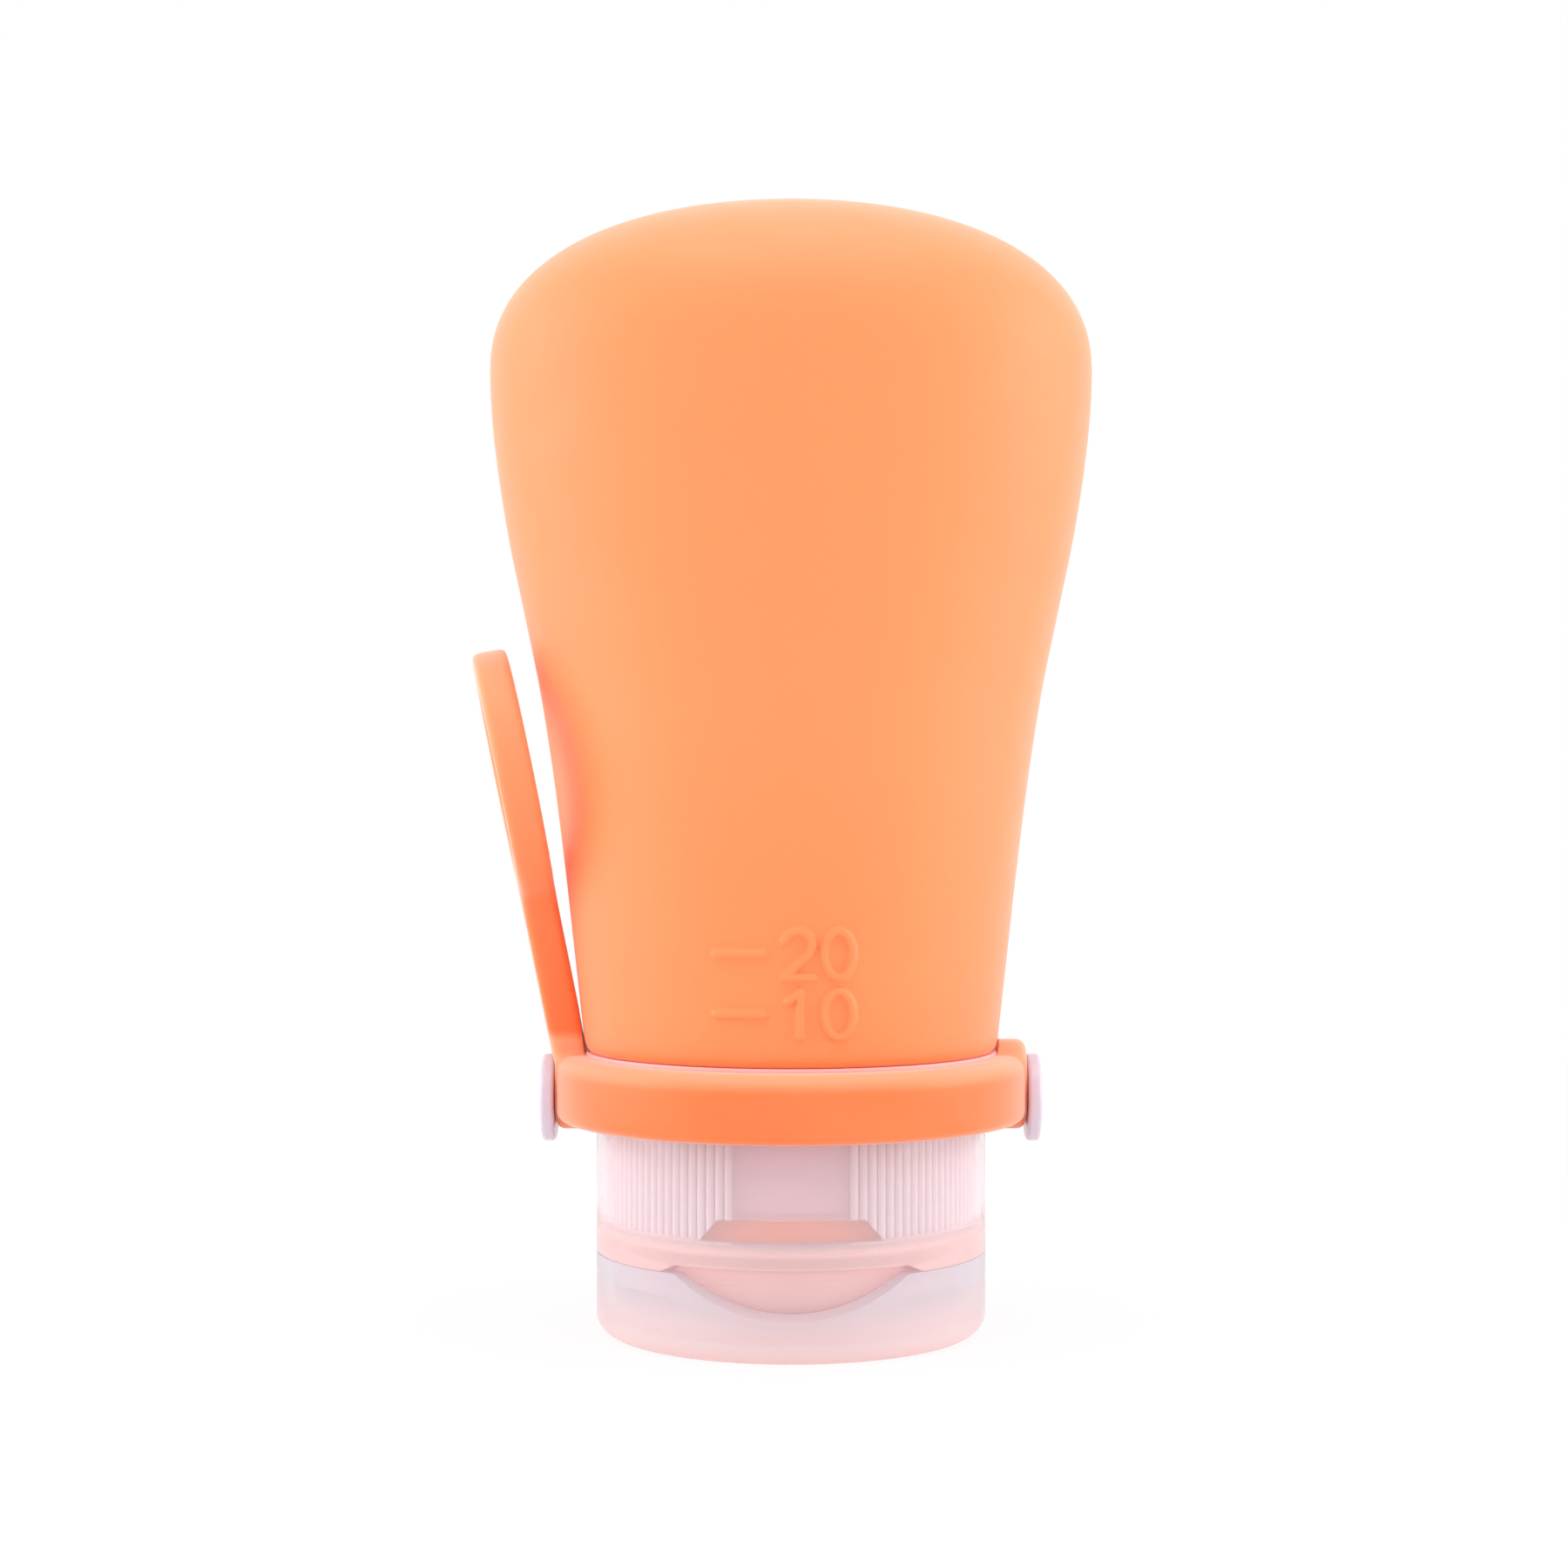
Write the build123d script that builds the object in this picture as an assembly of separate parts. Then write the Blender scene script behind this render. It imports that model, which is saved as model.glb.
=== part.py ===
from build123d import *
import math
import os

# A soft travel bottle that stands upside down on its flip-top cap, with a strap to hang it by.
# Millimetres, Z up. The origin is the centre of the flat face that the cap stands on. The front
# is towards -Y, the lid's hinge is at the back and the strap rises on the -X side.

# Fits
press_gap = 0.03        # between pieces that are pressed or clamped together
running_gap = 0.1       # round a hinge or between pieces that turn in one another
loose_gap = 0.2         # round a lid or plug that lifts out, or a soft piece beside another
cut_over = 1.0          # how far every cut runs past what it cuts

# Flip lid, with a curved notch for the thumb in its front wall
cap_radius = 15.9
seam_height = 6.8
seam_gap = 0.12
lid_wall = 1.4
lid_floor = 1.3
lid_edge_round = 1.8
spigot_gap = 0.25       # between the spigot and the outlet that it plugs
spigot_wall = 0.7
spigot_reach = 0.75
notch_half_width = 9.1
notch_depth = 3.3
notch_lift = 0.55       # the shell's rim is cut up by this much over the notch

# Cap: a smooth clear shell with a deck, and a crown that fits inside the lid
shell_wall = 0.75
shell_edge_round = 0.25
deck_thickness = 1.35
outlet_radius = 3.3
crown_wall = 1.2
crown_depth = 2.4

# Film hinge at the back
hinge_width = 9.0
hinge_axis_out = 0.4    # how far the film stands behind the flat pads
hinge_roll_radius = 0.35
hinge_pad_width = 10.0
hinge_pad_depth = 1.0
hinge_pad_height = 3.0
hinge_pad_round = 0.45
hinge_film = 0.3

# Ribbed liner pressed into the shell
liner_wall = 0.8
liner_floor = 0.95
liner_step = 0.4        # how far it stops short of the shell's rim
rib_count = 108
rib_depth = 0.3
rib_width = 0.42
smooth_front_deg = 38.0  # the front of the liner that has no ribs
window_rise = 0.16
window_height = 1.75
window_bottom_width = 14.4
window_top_width = 11.4

# Valve with a cross slit in the outlet, and the ring that holds it
valve_flange_radius = 5.4
valve_flange = 0.8
valve_head_gap = 0.4
valve_head_depth = 0.5
valve_dish_radius = 2.3
valve_dish_depth = 0.8
slit_length = 3.6
slit_width = 0.12
retainer_wall = 0.97
retainer_roof = 0.8
retainer_opening = 3.7

# Seal ring, and the rigid neck above it, clamped through the bottle's foot by two flanges
seal_thickness = 2.05
neck_drop = 11.7        # how far the neck reaches down from the foot
neck_wall = 1.5
neck_lip_round = 0.5
thread_gap = 0.72       # between the neck and the liner, for their threads
clamp_flange_reach = 1.4
clamp_flange_thickness = 0.8
lower_flange_thickness = 0.55

# Collar round the neck, which carries the strap's band on two studs
collar_step = 0.15      # how far it stands out past the cap
collar_height = 5.37
collar_wall = 1.1
collar_plate = 1.0
collar_flange_reach = 0.65
collar_flange = 0.25
cap_gap = 0.3           # between the collar and the rim of the cap

# Soft bottle: round at its foot, wider and flatter towards its closed, domed end
bottle_height = 91.9
shoulder_half_width = 24.6
depth_inside_band = 0.2  # how far the closed end stays inside the band, front and back
dome_height = 13.7
bottle_wall = 2.0
foot_wall = 1.6
foot_round = 0.9
dome_power = 2.28       # 2 would be an ellipse, more is fuller
dome_steps = 10
# share of the height from foot to shoulder, share of the widening that is reached there
side_shares = [(0.0, 0.0), (0.14, 0.11), (0.28, 0.222), (0.42, 0.35), (0.53, 0.475), (0.64, 0.634),
               (0.75, 0.797), (0.86, 0.922), (0.94, 0.982), (1.0, 1.0)]

# Band and studs
band_gap = 0.25
band_wall = 2.9
band_drop = 0.28        # how far it hangs below the collar
band_outer_round = 0.9
band_inner_round = 0.5
boss_width = 6.6
boss_drop = 0.82        # how far the bosses reach below the band
boss_rise = 1.11        # and above it
boss_flat = 0.6         # the straight stretch between a boss's rounded corners
boss_edge_round = 0.5
stud_radius = 1.1
stud_drop = 1.1         # how far the studs sit below the middle of the bosses
stud_head_radius = 3.55
stud_head_thickness = 1.05
stud_head_round = 0.4

# Strap: a short stem and a round loop, leaning out from the bottle
strap_twist_deg = 6.5   # how far the strap is twisted to the front on its boss
strap_thickness = 2.85
strap_root_radius = 1.15 # the round root is thinner, and turns clear of the bottle
strap_pivot_inset = 0.5
strap_pivot_rise = 1.65
strap_length = 30.7
strap_top_share = 0.55  # share of the bottle's widening that is reached beside the strap's top
strap_top_out = 3.71    # how far the strap's top stands out from the bottle's side there
stem_width = 5.2
loop_radius = 10.5
loop_hole_radius = 7.0
stem_fillet = 4.0
strap_edge_round = 0.6

# Heights worked out from the sizes above, from the lid up
lid_top = seam_height - seam_gap / 2
shell_bottom = seam_height + seam_gap / 2
deck_top = shell_bottom + deck_thickness
liner_bottom = deck_top + press_gap
liner_floor_top = liner_bottom + liner_floor
window_bottom = liner_floor_top + window_rise
window_top = window_bottom + window_height
seal_bottom = liner_floor_top + press_gap
seal_top = seal_bottom + seal_thickness
neck_lip_height = seal_top + press_gap
foot_height = neck_lip_height + neck_drop
foot_top = foot_height + foot_wall
clamp_flange_top = foot_top + press_gap + clamp_flange_thickness
collar_top = foot_height - press_gap
collar_bottom = collar_top - collar_height
shell_top = collar_bottom - cap_gap
liner_top = shell_top - liner_step
shoulder_height = bottle_height - dome_height
band_top = collar_top - collar_flange - press_gap
band_bottom = collar_bottom - band_drop
boss_bottom = band_bottom - boss_drop
boss_top = band_top + boss_rise
boss_middle = (boss_bottom + boss_top) / 2
stud_height = boss_middle - stud_drop
strap_pivot_height = boss_top + strap_pivot_rise

# Radii and other places, from the cap's wall inwards and outwards
shell_inner_radius = cap_radius - shell_wall
lid_inner_radius = cap_radius - lid_wall
crown_radius = lid_inner_radius - loose_gap
spigot_radius = outlet_radius - spigot_gap
hinge_y = cap_radius + hinge_axis_out
liner_radius = shell_inner_radius - press_gap
liner_root_radius = liner_radius - rib_depth
liner_inner_radius = liner_root_radius - liner_wall
valve_head_radius = outlet_radius - valve_head_gap
retainer_radius = valve_flange_radius + press_gap + retainer_wall
neck_radius = liner_inner_radius - thread_gap
neck_bore = neck_radius - neck_wall
seal_inner_radius = neck_bore + running_gap
seal_radius = liner_inner_radius - press_gap
clamp_flange_radius = neck_radius + clamp_flange_reach
foot_radius = clamp_flange_radius + running_gap + bottle_wall
collar_radius = cap_radius + collar_step
collar_inner_radius = collar_radius - collar_wall
collar_flange_radius = collar_radius + collar_flange_reach
band_inner_radius = collar_radius + band_gap
band_radius = band_inner_radius + band_wall
shoulder_half_depth = band_radius - depth_inside_band
boss_round = (min(boss_width, boss_top - boss_bottom) - boss_flat) / 2
stud_head_start = band_radius + running_gap
strap_pivot_out = band_radius - strap_pivot_inset
strap_root_reach = strap_thickness / 2 + running_gap
side_beside_strap = foot_radius + strap_top_share * (shoulder_half_width - foot_radius)
strap_lean = math.asin((side_beside_strap + strap_top_out - strap_pivot_out) / strap_length)


def turned(points, rounds=()):
    """A solid turned about Z from (radius, height) points; rounds lists ((radius, height), round)."""
    face = make_face(Polyline(*points, close=True))
    for place, amount in rounds:
        face = fillet(face.vertices().sort_by_distance(Vector(*place))[0], amount)
    return revolve(Plane.XZ * face, Axis.Z)


def tube(inner, outer, bottom, top, rounds=()):
    """A plain ring about Z."""
    return turned([(inner, bottom), (outer, bottom), (outer, top), (inner, top)], rounds)


def disc(radius, bottom, top):
    """A plain round slug about Z, for cutting."""
    return turned([(0, bottom), (radius, bottom), (radius, top), (0, top)])


def block(low, high):
    """A box between two corners."""
    size = [b - a for a, b in zip(low, high)]
    middle = [(a + b) / 2 for a, b in zip(low, high)]
    return Pos(*middle) * Box(*size)


def dome(half_width, half_depth, height):
    """The closed end: a turned bulge, fuller than an ellipse, flattened front to back."""
    turns = [math.pi / 2 * i / dome_steps for i in range(dome_steps + 1)]
    rim = [(half_width * max(math.cos(t), 0) ** (2 / dome_power),
            height * math.sin(t) ** (2 / dome_power)) for t in turns]
    rim[-1] = (0, height)
    outline = Spline(*rim, tangents=[(0, 1), (-1, 0)]) + Polyline((0, height), (0, 0), rim[0])
    bulge = revolve(Plane.XZ * make_face(outline), Axis.Z)
    return Pos(0, 0, shoulder_height) * scale(bulge, by=(1, half_depth / half_width, 1))


def bottle_form(inset):
    """The bottle as one solid, drawn in by inset all over except at its foot."""
    sections = []
    for height_share, widening_share in side_shares:
        height = foot_height + height_share * (shoulder_height - foot_height)
        half_width = foot_radius + widening_share * (shoulder_half_width - foot_radius) - inset
        half_depth = foot_radius + widening_share * (shoulder_half_depth - foot_radius) - inset
        sections.append(Pos(0, 0, height) * Ellipse(half_width, half_depth))
    side = loft(sections)
    return side + dome(shoulder_half_width - inset, shoulder_half_depth - inset, dome_height - inset)


def squeeze_body():
    """The soft shell, open only where the neck passes through its foot."""
    outside = bottle_form(0)
    outside = fillet(outside.edges().group_by(Axis.Z)[0], foot_round)
    inside = split(bottle_form(bottle_wall), Plane.XY.offset(foot_top), keep=Keep.TOP)
    return outside - inside - disc(neck_radius + press_gap, foot_height - cut_over, foot_top + cut_over)


def threaded_neck():
    """The rigid neck, with a flange inside the bottle's foot and one that the collar snaps over."""
    flange_radius = collar_inner_radius - press_gap
    flange_bottom = collar_bottom + press_gap
    stem = tube(neck_bore, neck_radius, neck_lip_height, clamp_flange_top,
                [((neck_radius, neck_lip_height), neck_lip_round)])
    clamp = tube(neck_bore, clamp_flange_radius, foot_top + press_gap, clamp_flange_top)
    snap = tube(neck_bore, flange_radius, flange_bottom, flange_bottom + lower_flange_thickness)
    return stem + clamp + snap


def stud_hole(radius):
    """A long slug of this radius along the studs' axis, for cutting."""
    return Pos(0, 0, stud_height) * Rot(0, 90, 0) * Cylinder(radius, 2 * (band_radius + cut_over))


def neck_collar():
    """A cup-shaped ring that clamps the foot from below; its flange shows over the band."""
    plate_bottom = collar_top - collar_plate
    ring = turned([
        (collar_inner_radius, collar_bottom), (collar_radius, collar_bottom),
        (collar_radius, collar_top - collar_flange), (collar_flange_radius, collar_top - collar_flange),
        (collar_flange_radius, collar_top), (neck_radius + press_gap, collar_top),
        (neck_radius + press_gap, plate_bottom), (collar_inner_radius, plate_bottom),
    ])
    return ring - stud_hole(stud_radius)


def strap_stud(side):
    """A headed stud on the side that has this sign, from the collar out through the band."""
    shank_length = stud_head_start - collar_inner_radius
    shank = Cylinder(stud_radius, shank_length, align=(Align.CENTER, Align.CENTER, Align.MIN))
    head = Cylinder(stud_head_radius, stud_head_thickness, align=(Align.CENTER, Align.CENTER, Align.MIN))
    head = fillet(head.edges().filter_by(GeomType.CIRCLE), stud_head_round)
    stud = Pos(0, 0, collar_inner_radius) * shank + Pos(0, 0, stud_head_start) * head
    return Pos(0, 0, stud_height) * Rot(0, side * 90, 0) * stud


def strap_plane():
    """The plane of the strap: its local y runs up the strap from the pivot, its z outwards."""
    twist = math.radians(strap_twist_deg)
    outwards = -math.cos(strap_lean)
    return Plane(origin=(-strap_pivot_out, 0, strap_pivot_height),
                 x_dir=(math.sin(twist), -math.cos(twist), 0),
                 z_dir=(outwards * math.cos(twist), outwards * math.sin(twist), -math.sin(strap_lean)))


def strap_band():
    """The soft ring round the collar, with two bosses for the studs and the foot of the strap."""
    ring = tube(band_inner_radius, band_radius, band_bottom, band_top, [
        ((band_radius, band_bottom), band_outer_round), ((band_radius, band_top), band_outer_round),
        ((band_inner_radius, band_bottom), band_inner_round),
        ((band_inner_radius, band_top), band_inner_round)])
    outline = Plane.YZ * RectangleRounded(boss_width, boss_top - boss_bottom, boss_round)
    boss = extrude(outline, band_radius)
    boss = fillet(boss.faces().sort_by(Axis.X)[-1].edges(), boss_edge_round)
    bosses = Pos(0, 0, boss_middle) * (boss + Rot(0, 0, 180) * boss)
    room = disc(band_inner_radius, boss_bottom - cut_over, boss_top + cut_over)
    room += disc(foot_radius + loose_gap, band_top, foot_height) + bottle_form(-loose_gap)
    head_room = Pos(-stud_head_start, 0, stud_height) * Rot(0, -90, 0) * Cylinder(
        stud_head_radius + running_gap, cut_over, align=(Align.CENTER, Align.CENTER, Align.MIN))
    return ring + (bosses + strap_stub() - room) - stud_hole(stud_radius + running_gap) - head_room


def strap_stub():
    """The part of the strap that stays with the band, cut clear of the strap's round root."""
    drop = strap_pivot_height - boss_middle
    stub = extrude(Pos(0, -drop / 2, 0) * Rectangle(stem_width, drop), strap_thickness / 2, both=True)
    root = Rot(0, 90, 0) * Cylinder(strap_root_reach, stem_width + cut_over)
    outer_side = block((-stem_width, -strap_root_reach, 0), (stem_width, cut_over, strap_thickness))
    return strap_plane() * (stub - root - outer_side)


def strap_loop():
    """The strap above its bend: a round root, a stem and a ring to hang the bottle by."""
    ring_middle = strap_length - loop_radius
    flat = Pos(0, ring_middle / 2) * Rectangle(stem_width, ring_middle)
    flat += Pos(0, ring_middle) * Circle(loop_radius)
    corners = flat.vertices().filter_by(lambda v: v.Y > strap_thickness)
    flat = fillet(corners, stem_fillet)
    flat -= Pos(0, ring_middle) * Circle(loop_hole_radius)
    plate = extrude(flat, strap_thickness / 2, both=True)
    rims = plate.faces().filter_by(GeomType.PLANE).sort_by(Axis.Z)
    edges = (rims[0].edges() + rims[-1].edges()).filter_by(lambda e: e.center().Y > strap_thickness)
    plate = fillet(edges, strap_edge_round)
    root = Rot(0, 90, 0) * Cylinder(strap_root_radius, stem_width)
    return strap_plane() * (plate + root) - bottle_form(-loose_gap)


def hinge_pad(bottom, top):
    """A flat land at the back of the round wall, for the film hinge."""
    land = block((-hinge_pad_width / 2, cap_radius - hinge_pad_depth, bottom),
                 (hinge_pad_width / 2, cap_radius, top))
    land = fillet(land.edges().filter_by(Axis.Z).group_by(Axis.Y)[-1], hinge_pad_round)
    return land - disc(shell_inner_radius, bottom - cut_over, top + cut_over)


def thumb_arc():
    """The round slug along Y whose lower edge is the curve of the thumb notch."""
    radius = (notch_half_width ** 2 + notch_depth ** 2) / (2 * notch_depth)
    middle = lid_top - notch_depth + radius
    slug = Cylinder(radius, cap_radius, align=(Align.CENTER, Align.CENTER, Align.MIN))
    return Pos(0, 0, middle) * Rot(90, 0, 0) * slug


def cap_shell():
    """The clear outer cup: a smooth wall, a deck with the outlet, and a crown that fits the lid."""
    shell = turned([
        (outlet_radius, shell_bottom), (crown_radius - crown_wall, shell_bottom),
        (crown_radius - crown_wall, shell_bottom - crown_depth), (crown_radius, shell_bottom - crown_depth),
        (crown_radius, shell_bottom), (cap_radius, shell_bottom), (cap_radius, shell_top),
        (shell_inner_radius, shell_top), (shell_inner_radius, deck_top), (outlet_radius, deck_top),
    ], [((cap_radius, shell_top), shell_edge_round), ((cap_radius, shell_bottom), shell_edge_round)])
    shell += hinge_pad(shell_bottom, shell_bottom + hinge_pad_height)
    rim = tube(crown_radius, cap_radius + cut_over, shell_bottom - cut_over, shell_bottom + notch_lift)
    return shell - (rim & thumb_arc())


def cap_liner():
    """The threaded cup inside the shell, ribbed all round but for its smooth front and window."""
    profile = Circle(liner_root_radius)
    first = -90 + smooth_front_deg / 2
    step = (360 - smooth_front_deg) / (rib_count - 1)
    rib = Pos(liner_radius - rib_depth / 2) * Rectangle(rib_depth * 2, rib_width)
    profile += [Rot(0, 0, first + step * i) * rib for i in range(rib_count)]
    profile = (profile & Circle(liner_radius)) - Circle(liner_inner_radius)
    ribbed = Pos(0, 0, liner_floor_top) * extrude(profile, liner_top - liner_floor_top)
    cup = tube(retainer_radius + press_gap, liner_root_radius, liner_bottom, liner_floor_top)
    opening = Polyline((-window_bottom_width / 2, window_bottom), (window_bottom_width / 2, window_bottom),
                       (window_top_width / 2, window_top), (-window_top_width / 2, window_top), close=True)
    window = extrude(Plane.XZ * make_face(opening), cap_radius)
    return cup + ribbed - window


def neck_seal():
    """The soft ring that the neck's lip presses on, seen through the liner's window."""
    return tube(seal_inner_radius, seal_radius, seal_bottom, seal_top)


def dispensing_valve():
    """A soft button in the outlet, dished on its inner side and slit crosswise."""
    base = deck_top + press_gap
    button = turned([
        (0, base - valve_head_depth), (valve_head_radius, base - valve_head_depth),
        (valve_head_radius, base), (valve_flange_radius, base),
        (valve_flange_radius, base + valve_flange), (valve_dish_radius, base + valve_flange),
        (0, base + valve_flange - valve_dish_depth),
    ])
    middle = Pos(0, 0, base)
    slit = middle * Box(slit_length, slit_width, slit_length)
    return button - slit - Rot(0, 0, 90) * slit


def valve_retainer():
    """The ring that snaps into the liner's floor and holds the valve down on the deck."""
    bottom = deck_top + press_gap
    roof = bottom + valve_flange + press_gap
    return turned([
        (valve_flange_radius + press_gap, bottom), (retainer_radius, bottom),
        (retainer_radius, roof + retainer_roof), (retainer_opening, roof + retainer_roof),
        (retainer_opening, roof), (valve_flange_radius + press_gap, roof),
    ])


def flip_lid():
    """The cup-shaped lid that the bottle stands on, with the spigot that plugs the outlet."""
    inner_round = lid_edge_round - lid_wall / 2
    cup = turned([
        (0, 0), (cap_radius, 0), (cap_radius, lid_top), (lid_inner_radius, lid_top),
        (lid_inner_radius, lid_floor), (0, lid_floor),
    ], [((cap_radius, 0), lid_edge_round), ((lid_inner_radius, lid_floor), inner_round)])
    spigot = tube(spigot_radius - spigot_wall, spigot_radius, lid_floor / 2, lid_top + spigot_reach)
    spigot += disc(spigot_radius, lid_top, lid_top + spigot_reach)
    cup += hinge_pad(lid_top - hinge_pad_height, lid_top)
    wall = tube(lid_inner_radius - cut_over, cap_radius + cut_over, lid_floor, lid_top + cut_over)
    return cup - (wall & thumb_arc()) + spigot


def film_hinge():
    """The thin web behind the seam that the lid turns on, rooted on the shell's land."""
    roll = Pos(0, hinge_y, seam_height) * Rot(0, 90, 0) * Cylinder(hinge_roll_radius, hinge_width)
    web = block((-hinge_width / 2, cap_radius, seam_height),
                (hinge_width / 2, cap_radius + hinge_film, shell_bottom + hinge_pad_height))
    return roll + web


def main():
    nodes = {
        "squeeze_body": squeeze_body(),
        "threaded_neck": threaded_neck(),
        "neck_collar": neck_collar(),
        "left_strap_stud": strap_stud(-1),
        "right_strap_stud": strap_stud(1),
        "strap_band": strap_band(),
        "strap_loop": strap_loop(),
        "cap_shell": cap_shell(),
        "cap_liner": cap_liner(),
        "neck_seal": neck_seal(),
        "dispensing_valve": dispensing_valve(),
        "valve_retainer": valve_retainer(),
        "flip_lid": flip_lid(),
        "film_hinge": film_hinge(),
    }
    os.makedirs("parts", exist_ok=True)
    for name, solid in nodes.items():
        export_step(solid, os.path.join("parts", name + ".step"))


main()
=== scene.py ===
"""A soft travel bottle on its flip-top cap: the visible pieces, their finishes and a plain stage.

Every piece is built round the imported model, in the same frame: +Z up, the front towards -Y, the
lid's hinge at the back and the strap on the -X side. Sizes are millimetres, as in the part's
source, and a mesh gets metres when it is made.
"""

import math

import bmesh
import bpy
import numpy as np
from bpy.props import FloatProperty, FloatVectorProperty, IntProperty, PointerProperty
from mathutils import Matrix, Vector


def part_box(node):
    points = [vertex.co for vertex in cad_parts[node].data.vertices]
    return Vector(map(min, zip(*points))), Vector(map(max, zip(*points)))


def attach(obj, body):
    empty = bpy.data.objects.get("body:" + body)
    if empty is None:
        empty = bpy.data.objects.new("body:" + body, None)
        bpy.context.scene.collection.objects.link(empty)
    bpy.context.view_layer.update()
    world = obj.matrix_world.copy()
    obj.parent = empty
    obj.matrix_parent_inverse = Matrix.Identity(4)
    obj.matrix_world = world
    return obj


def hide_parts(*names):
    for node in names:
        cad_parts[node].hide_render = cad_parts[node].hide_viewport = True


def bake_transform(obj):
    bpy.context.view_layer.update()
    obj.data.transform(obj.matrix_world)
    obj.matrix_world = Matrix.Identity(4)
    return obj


bl_info = {
    "name": "Travel bottle",
    "version": (1, 0, 0),
    "blender": (4, 5, 0),
    "location": "3D View > Sidebar > Bottle",
    "description": "Builds a soft travel bottle, its strap and its clear cap round the packed model",
    "category": "Add Mesh",
}

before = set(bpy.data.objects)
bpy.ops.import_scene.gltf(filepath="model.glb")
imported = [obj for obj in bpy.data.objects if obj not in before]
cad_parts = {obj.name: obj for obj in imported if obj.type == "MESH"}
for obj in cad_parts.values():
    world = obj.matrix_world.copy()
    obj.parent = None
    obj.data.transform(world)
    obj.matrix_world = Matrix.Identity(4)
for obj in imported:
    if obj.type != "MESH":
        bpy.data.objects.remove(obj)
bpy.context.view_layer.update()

MM = 0.001  # metres in a millimetre
MERGED = 0.001 * MM  # points that lie nearer than this become one
SOFT_ANGLE = 40  # degrees between faces, up to which a surface is shaded smooth


def box_mm(node):
    """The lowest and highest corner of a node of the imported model, in millimetres."""
    low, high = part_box(node)
    return low / MM, high / MM


def screen(red, green, blue):
    """The linear colour of an 8-bit screen colour."""
    shares = [c / 255 for c in (red, green, blue)]
    return tuple(s / 12.92 if s <= 0.04045 else ((s + 0.055) / 1.055) ** 2.4 for s in shares) + (1.0,)


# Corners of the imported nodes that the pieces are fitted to
skin_low, skin_high = box_mm("squeeze_body")
shell_low, shell_high = box_mm("cap_shell")
liner_low, liner_high = box_mm("cap_liner")
seal_low, seal_high = box_mm("neck_seal")
neck_low, neck_high = box_mm("threaded_neck")
collar_low, collar_high = box_mm("neck_collar")
band_radius = box_mm("strap_band")[1].y

# Rounds of moulded edges, the gap between pieces that fit closely, and points round a turned piece
fine_round, small_round, medium_round, full_round = 0.1, 0.15, 0.2, 0.3
fit_gap = 0.03
turn_columns, small_turn_columns = 192, 96

# Soft bottle
foot_height, bottle_height = skin_low.z, skin_high.z
shoulder_half_width, shoulder_half_depth = skin_high.x, skin_high.y
foot_radius, foot_hole_radius = 16.8, 13.33
foot_curve_in, foot_curve_up = 0.45, 1.2
foot_rings = (14.6, 13.9)
foot_wall, skin_wall = 1.6, 2.0
foot_top = foot_height + foot_wall
inner_foot_round = 0.8
dome_height, dome_power = 13.7, 2.28
shoulder_height = bottle_height - dome_height
# share of the height from foot to shoulder, share of the widening that is reached there
side_shares = [(0.0, 0.0), (0.14, 0.11), (0.28, 0.222), (0.42, 0.35), (0.53, 0.475), (0.64, 0.634),
               (0.75, 0.797), (0.86, 0.922), (0.94, 0.982), (1.0, 1.0)]
shoulder_slope_share = 0.12
# rows of points outside: dome, plain side, side with the marks, side below them, curve of the foot
dome_steps, plain_rows, mark_rows, low_rows, foot_steps = 44, 69, 83, 3, 10
inner_round_steps, inner_rows, inner_dome_steps = 6, 35, 20
mark_columns, plain_columns = 128, 150
skin_soft_angle = 60

# Raised level marks on the front of the bottle
mark_low, mark_high = 24.9, 34.4
mark_half_angle = math.radians(27)
digit_height, digit_gap = 3.5, 0.9
digit_width = 0.62  # share of its height
stroke_half_width, stroke_edge = 0.3, 0.14
level_lines = {"20": 30.0, "10": 25.4}
level_line_left, level_line_right = -5.7, -2.1
digits_left = -0.6

# Band, its bosses and the strap
band_inner_radius = 16.3
band_bottom, band_top = 17.32, 22.69
band_outer_round, band_top_round, band_inner_round = 0.9, 1.4, 0.5
boss_width, boss_bottom, boss_top = 6.6, 16.5, 23.8
boss_middle = (boss_bottom + boss_top) / 2
boss_start = 16.4
boss_round, boss_edge_round, boss_edge_share = 3.0, 0.5, 0.3
boss_corner_steps = 8
strap_twist, strap_lean = math.radians(6.5), math.radians(11.461)
strap_pivot = Vector((-18.7, 0.0, 25.45))
strap_thickness, strap_edge_round = 2.85, 0.5
stem_half_width, stem_fillet = 2.6, 4.0
strap_length, strap_root_drop = 30.7, 5.3
loop_radius, loop_hole_radius = 10.5, 7.0
fillet_steps, ring_steps = 14, 90
strap_soft_angle = 80
# where the moulding is drawn out to clear the bottle's side, and by how much it clears
clear_from, clear_to = band_top + 0.05, strap_pivot.z + 4
skin_gap = 0.15

# Studs
stud_height = 19.05
stud_radius, stud_head_radius, stud_head_thickness = 1.1, 3.55, 1.1
stud_head_round = 0.32
stud_start, stud_head_start = 15.0, band_radius + 0.02

# Collar and neck
collar_inner_radius, collar_radius = 14.95, 16.05
collar_sink, collar_plate = 0.1, 1.0
flange_low_round, flange_top_round = 0.05, 0.06
neck_radius, neck_bore = 13.3, 11.8
clamp_flange_radius, clamp_flange_bottom = 14.7, foot_top + fit_gap
snap_flange_bottom, snap_flange_top, snap_round = 17.63, 18.18, 0.12
lip_round = 0.45
thread_start, thread_taper_share, thread_end_share = 13.05, 0.04, 0.05
thread_columns, thread_sides = 96, 12

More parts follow.
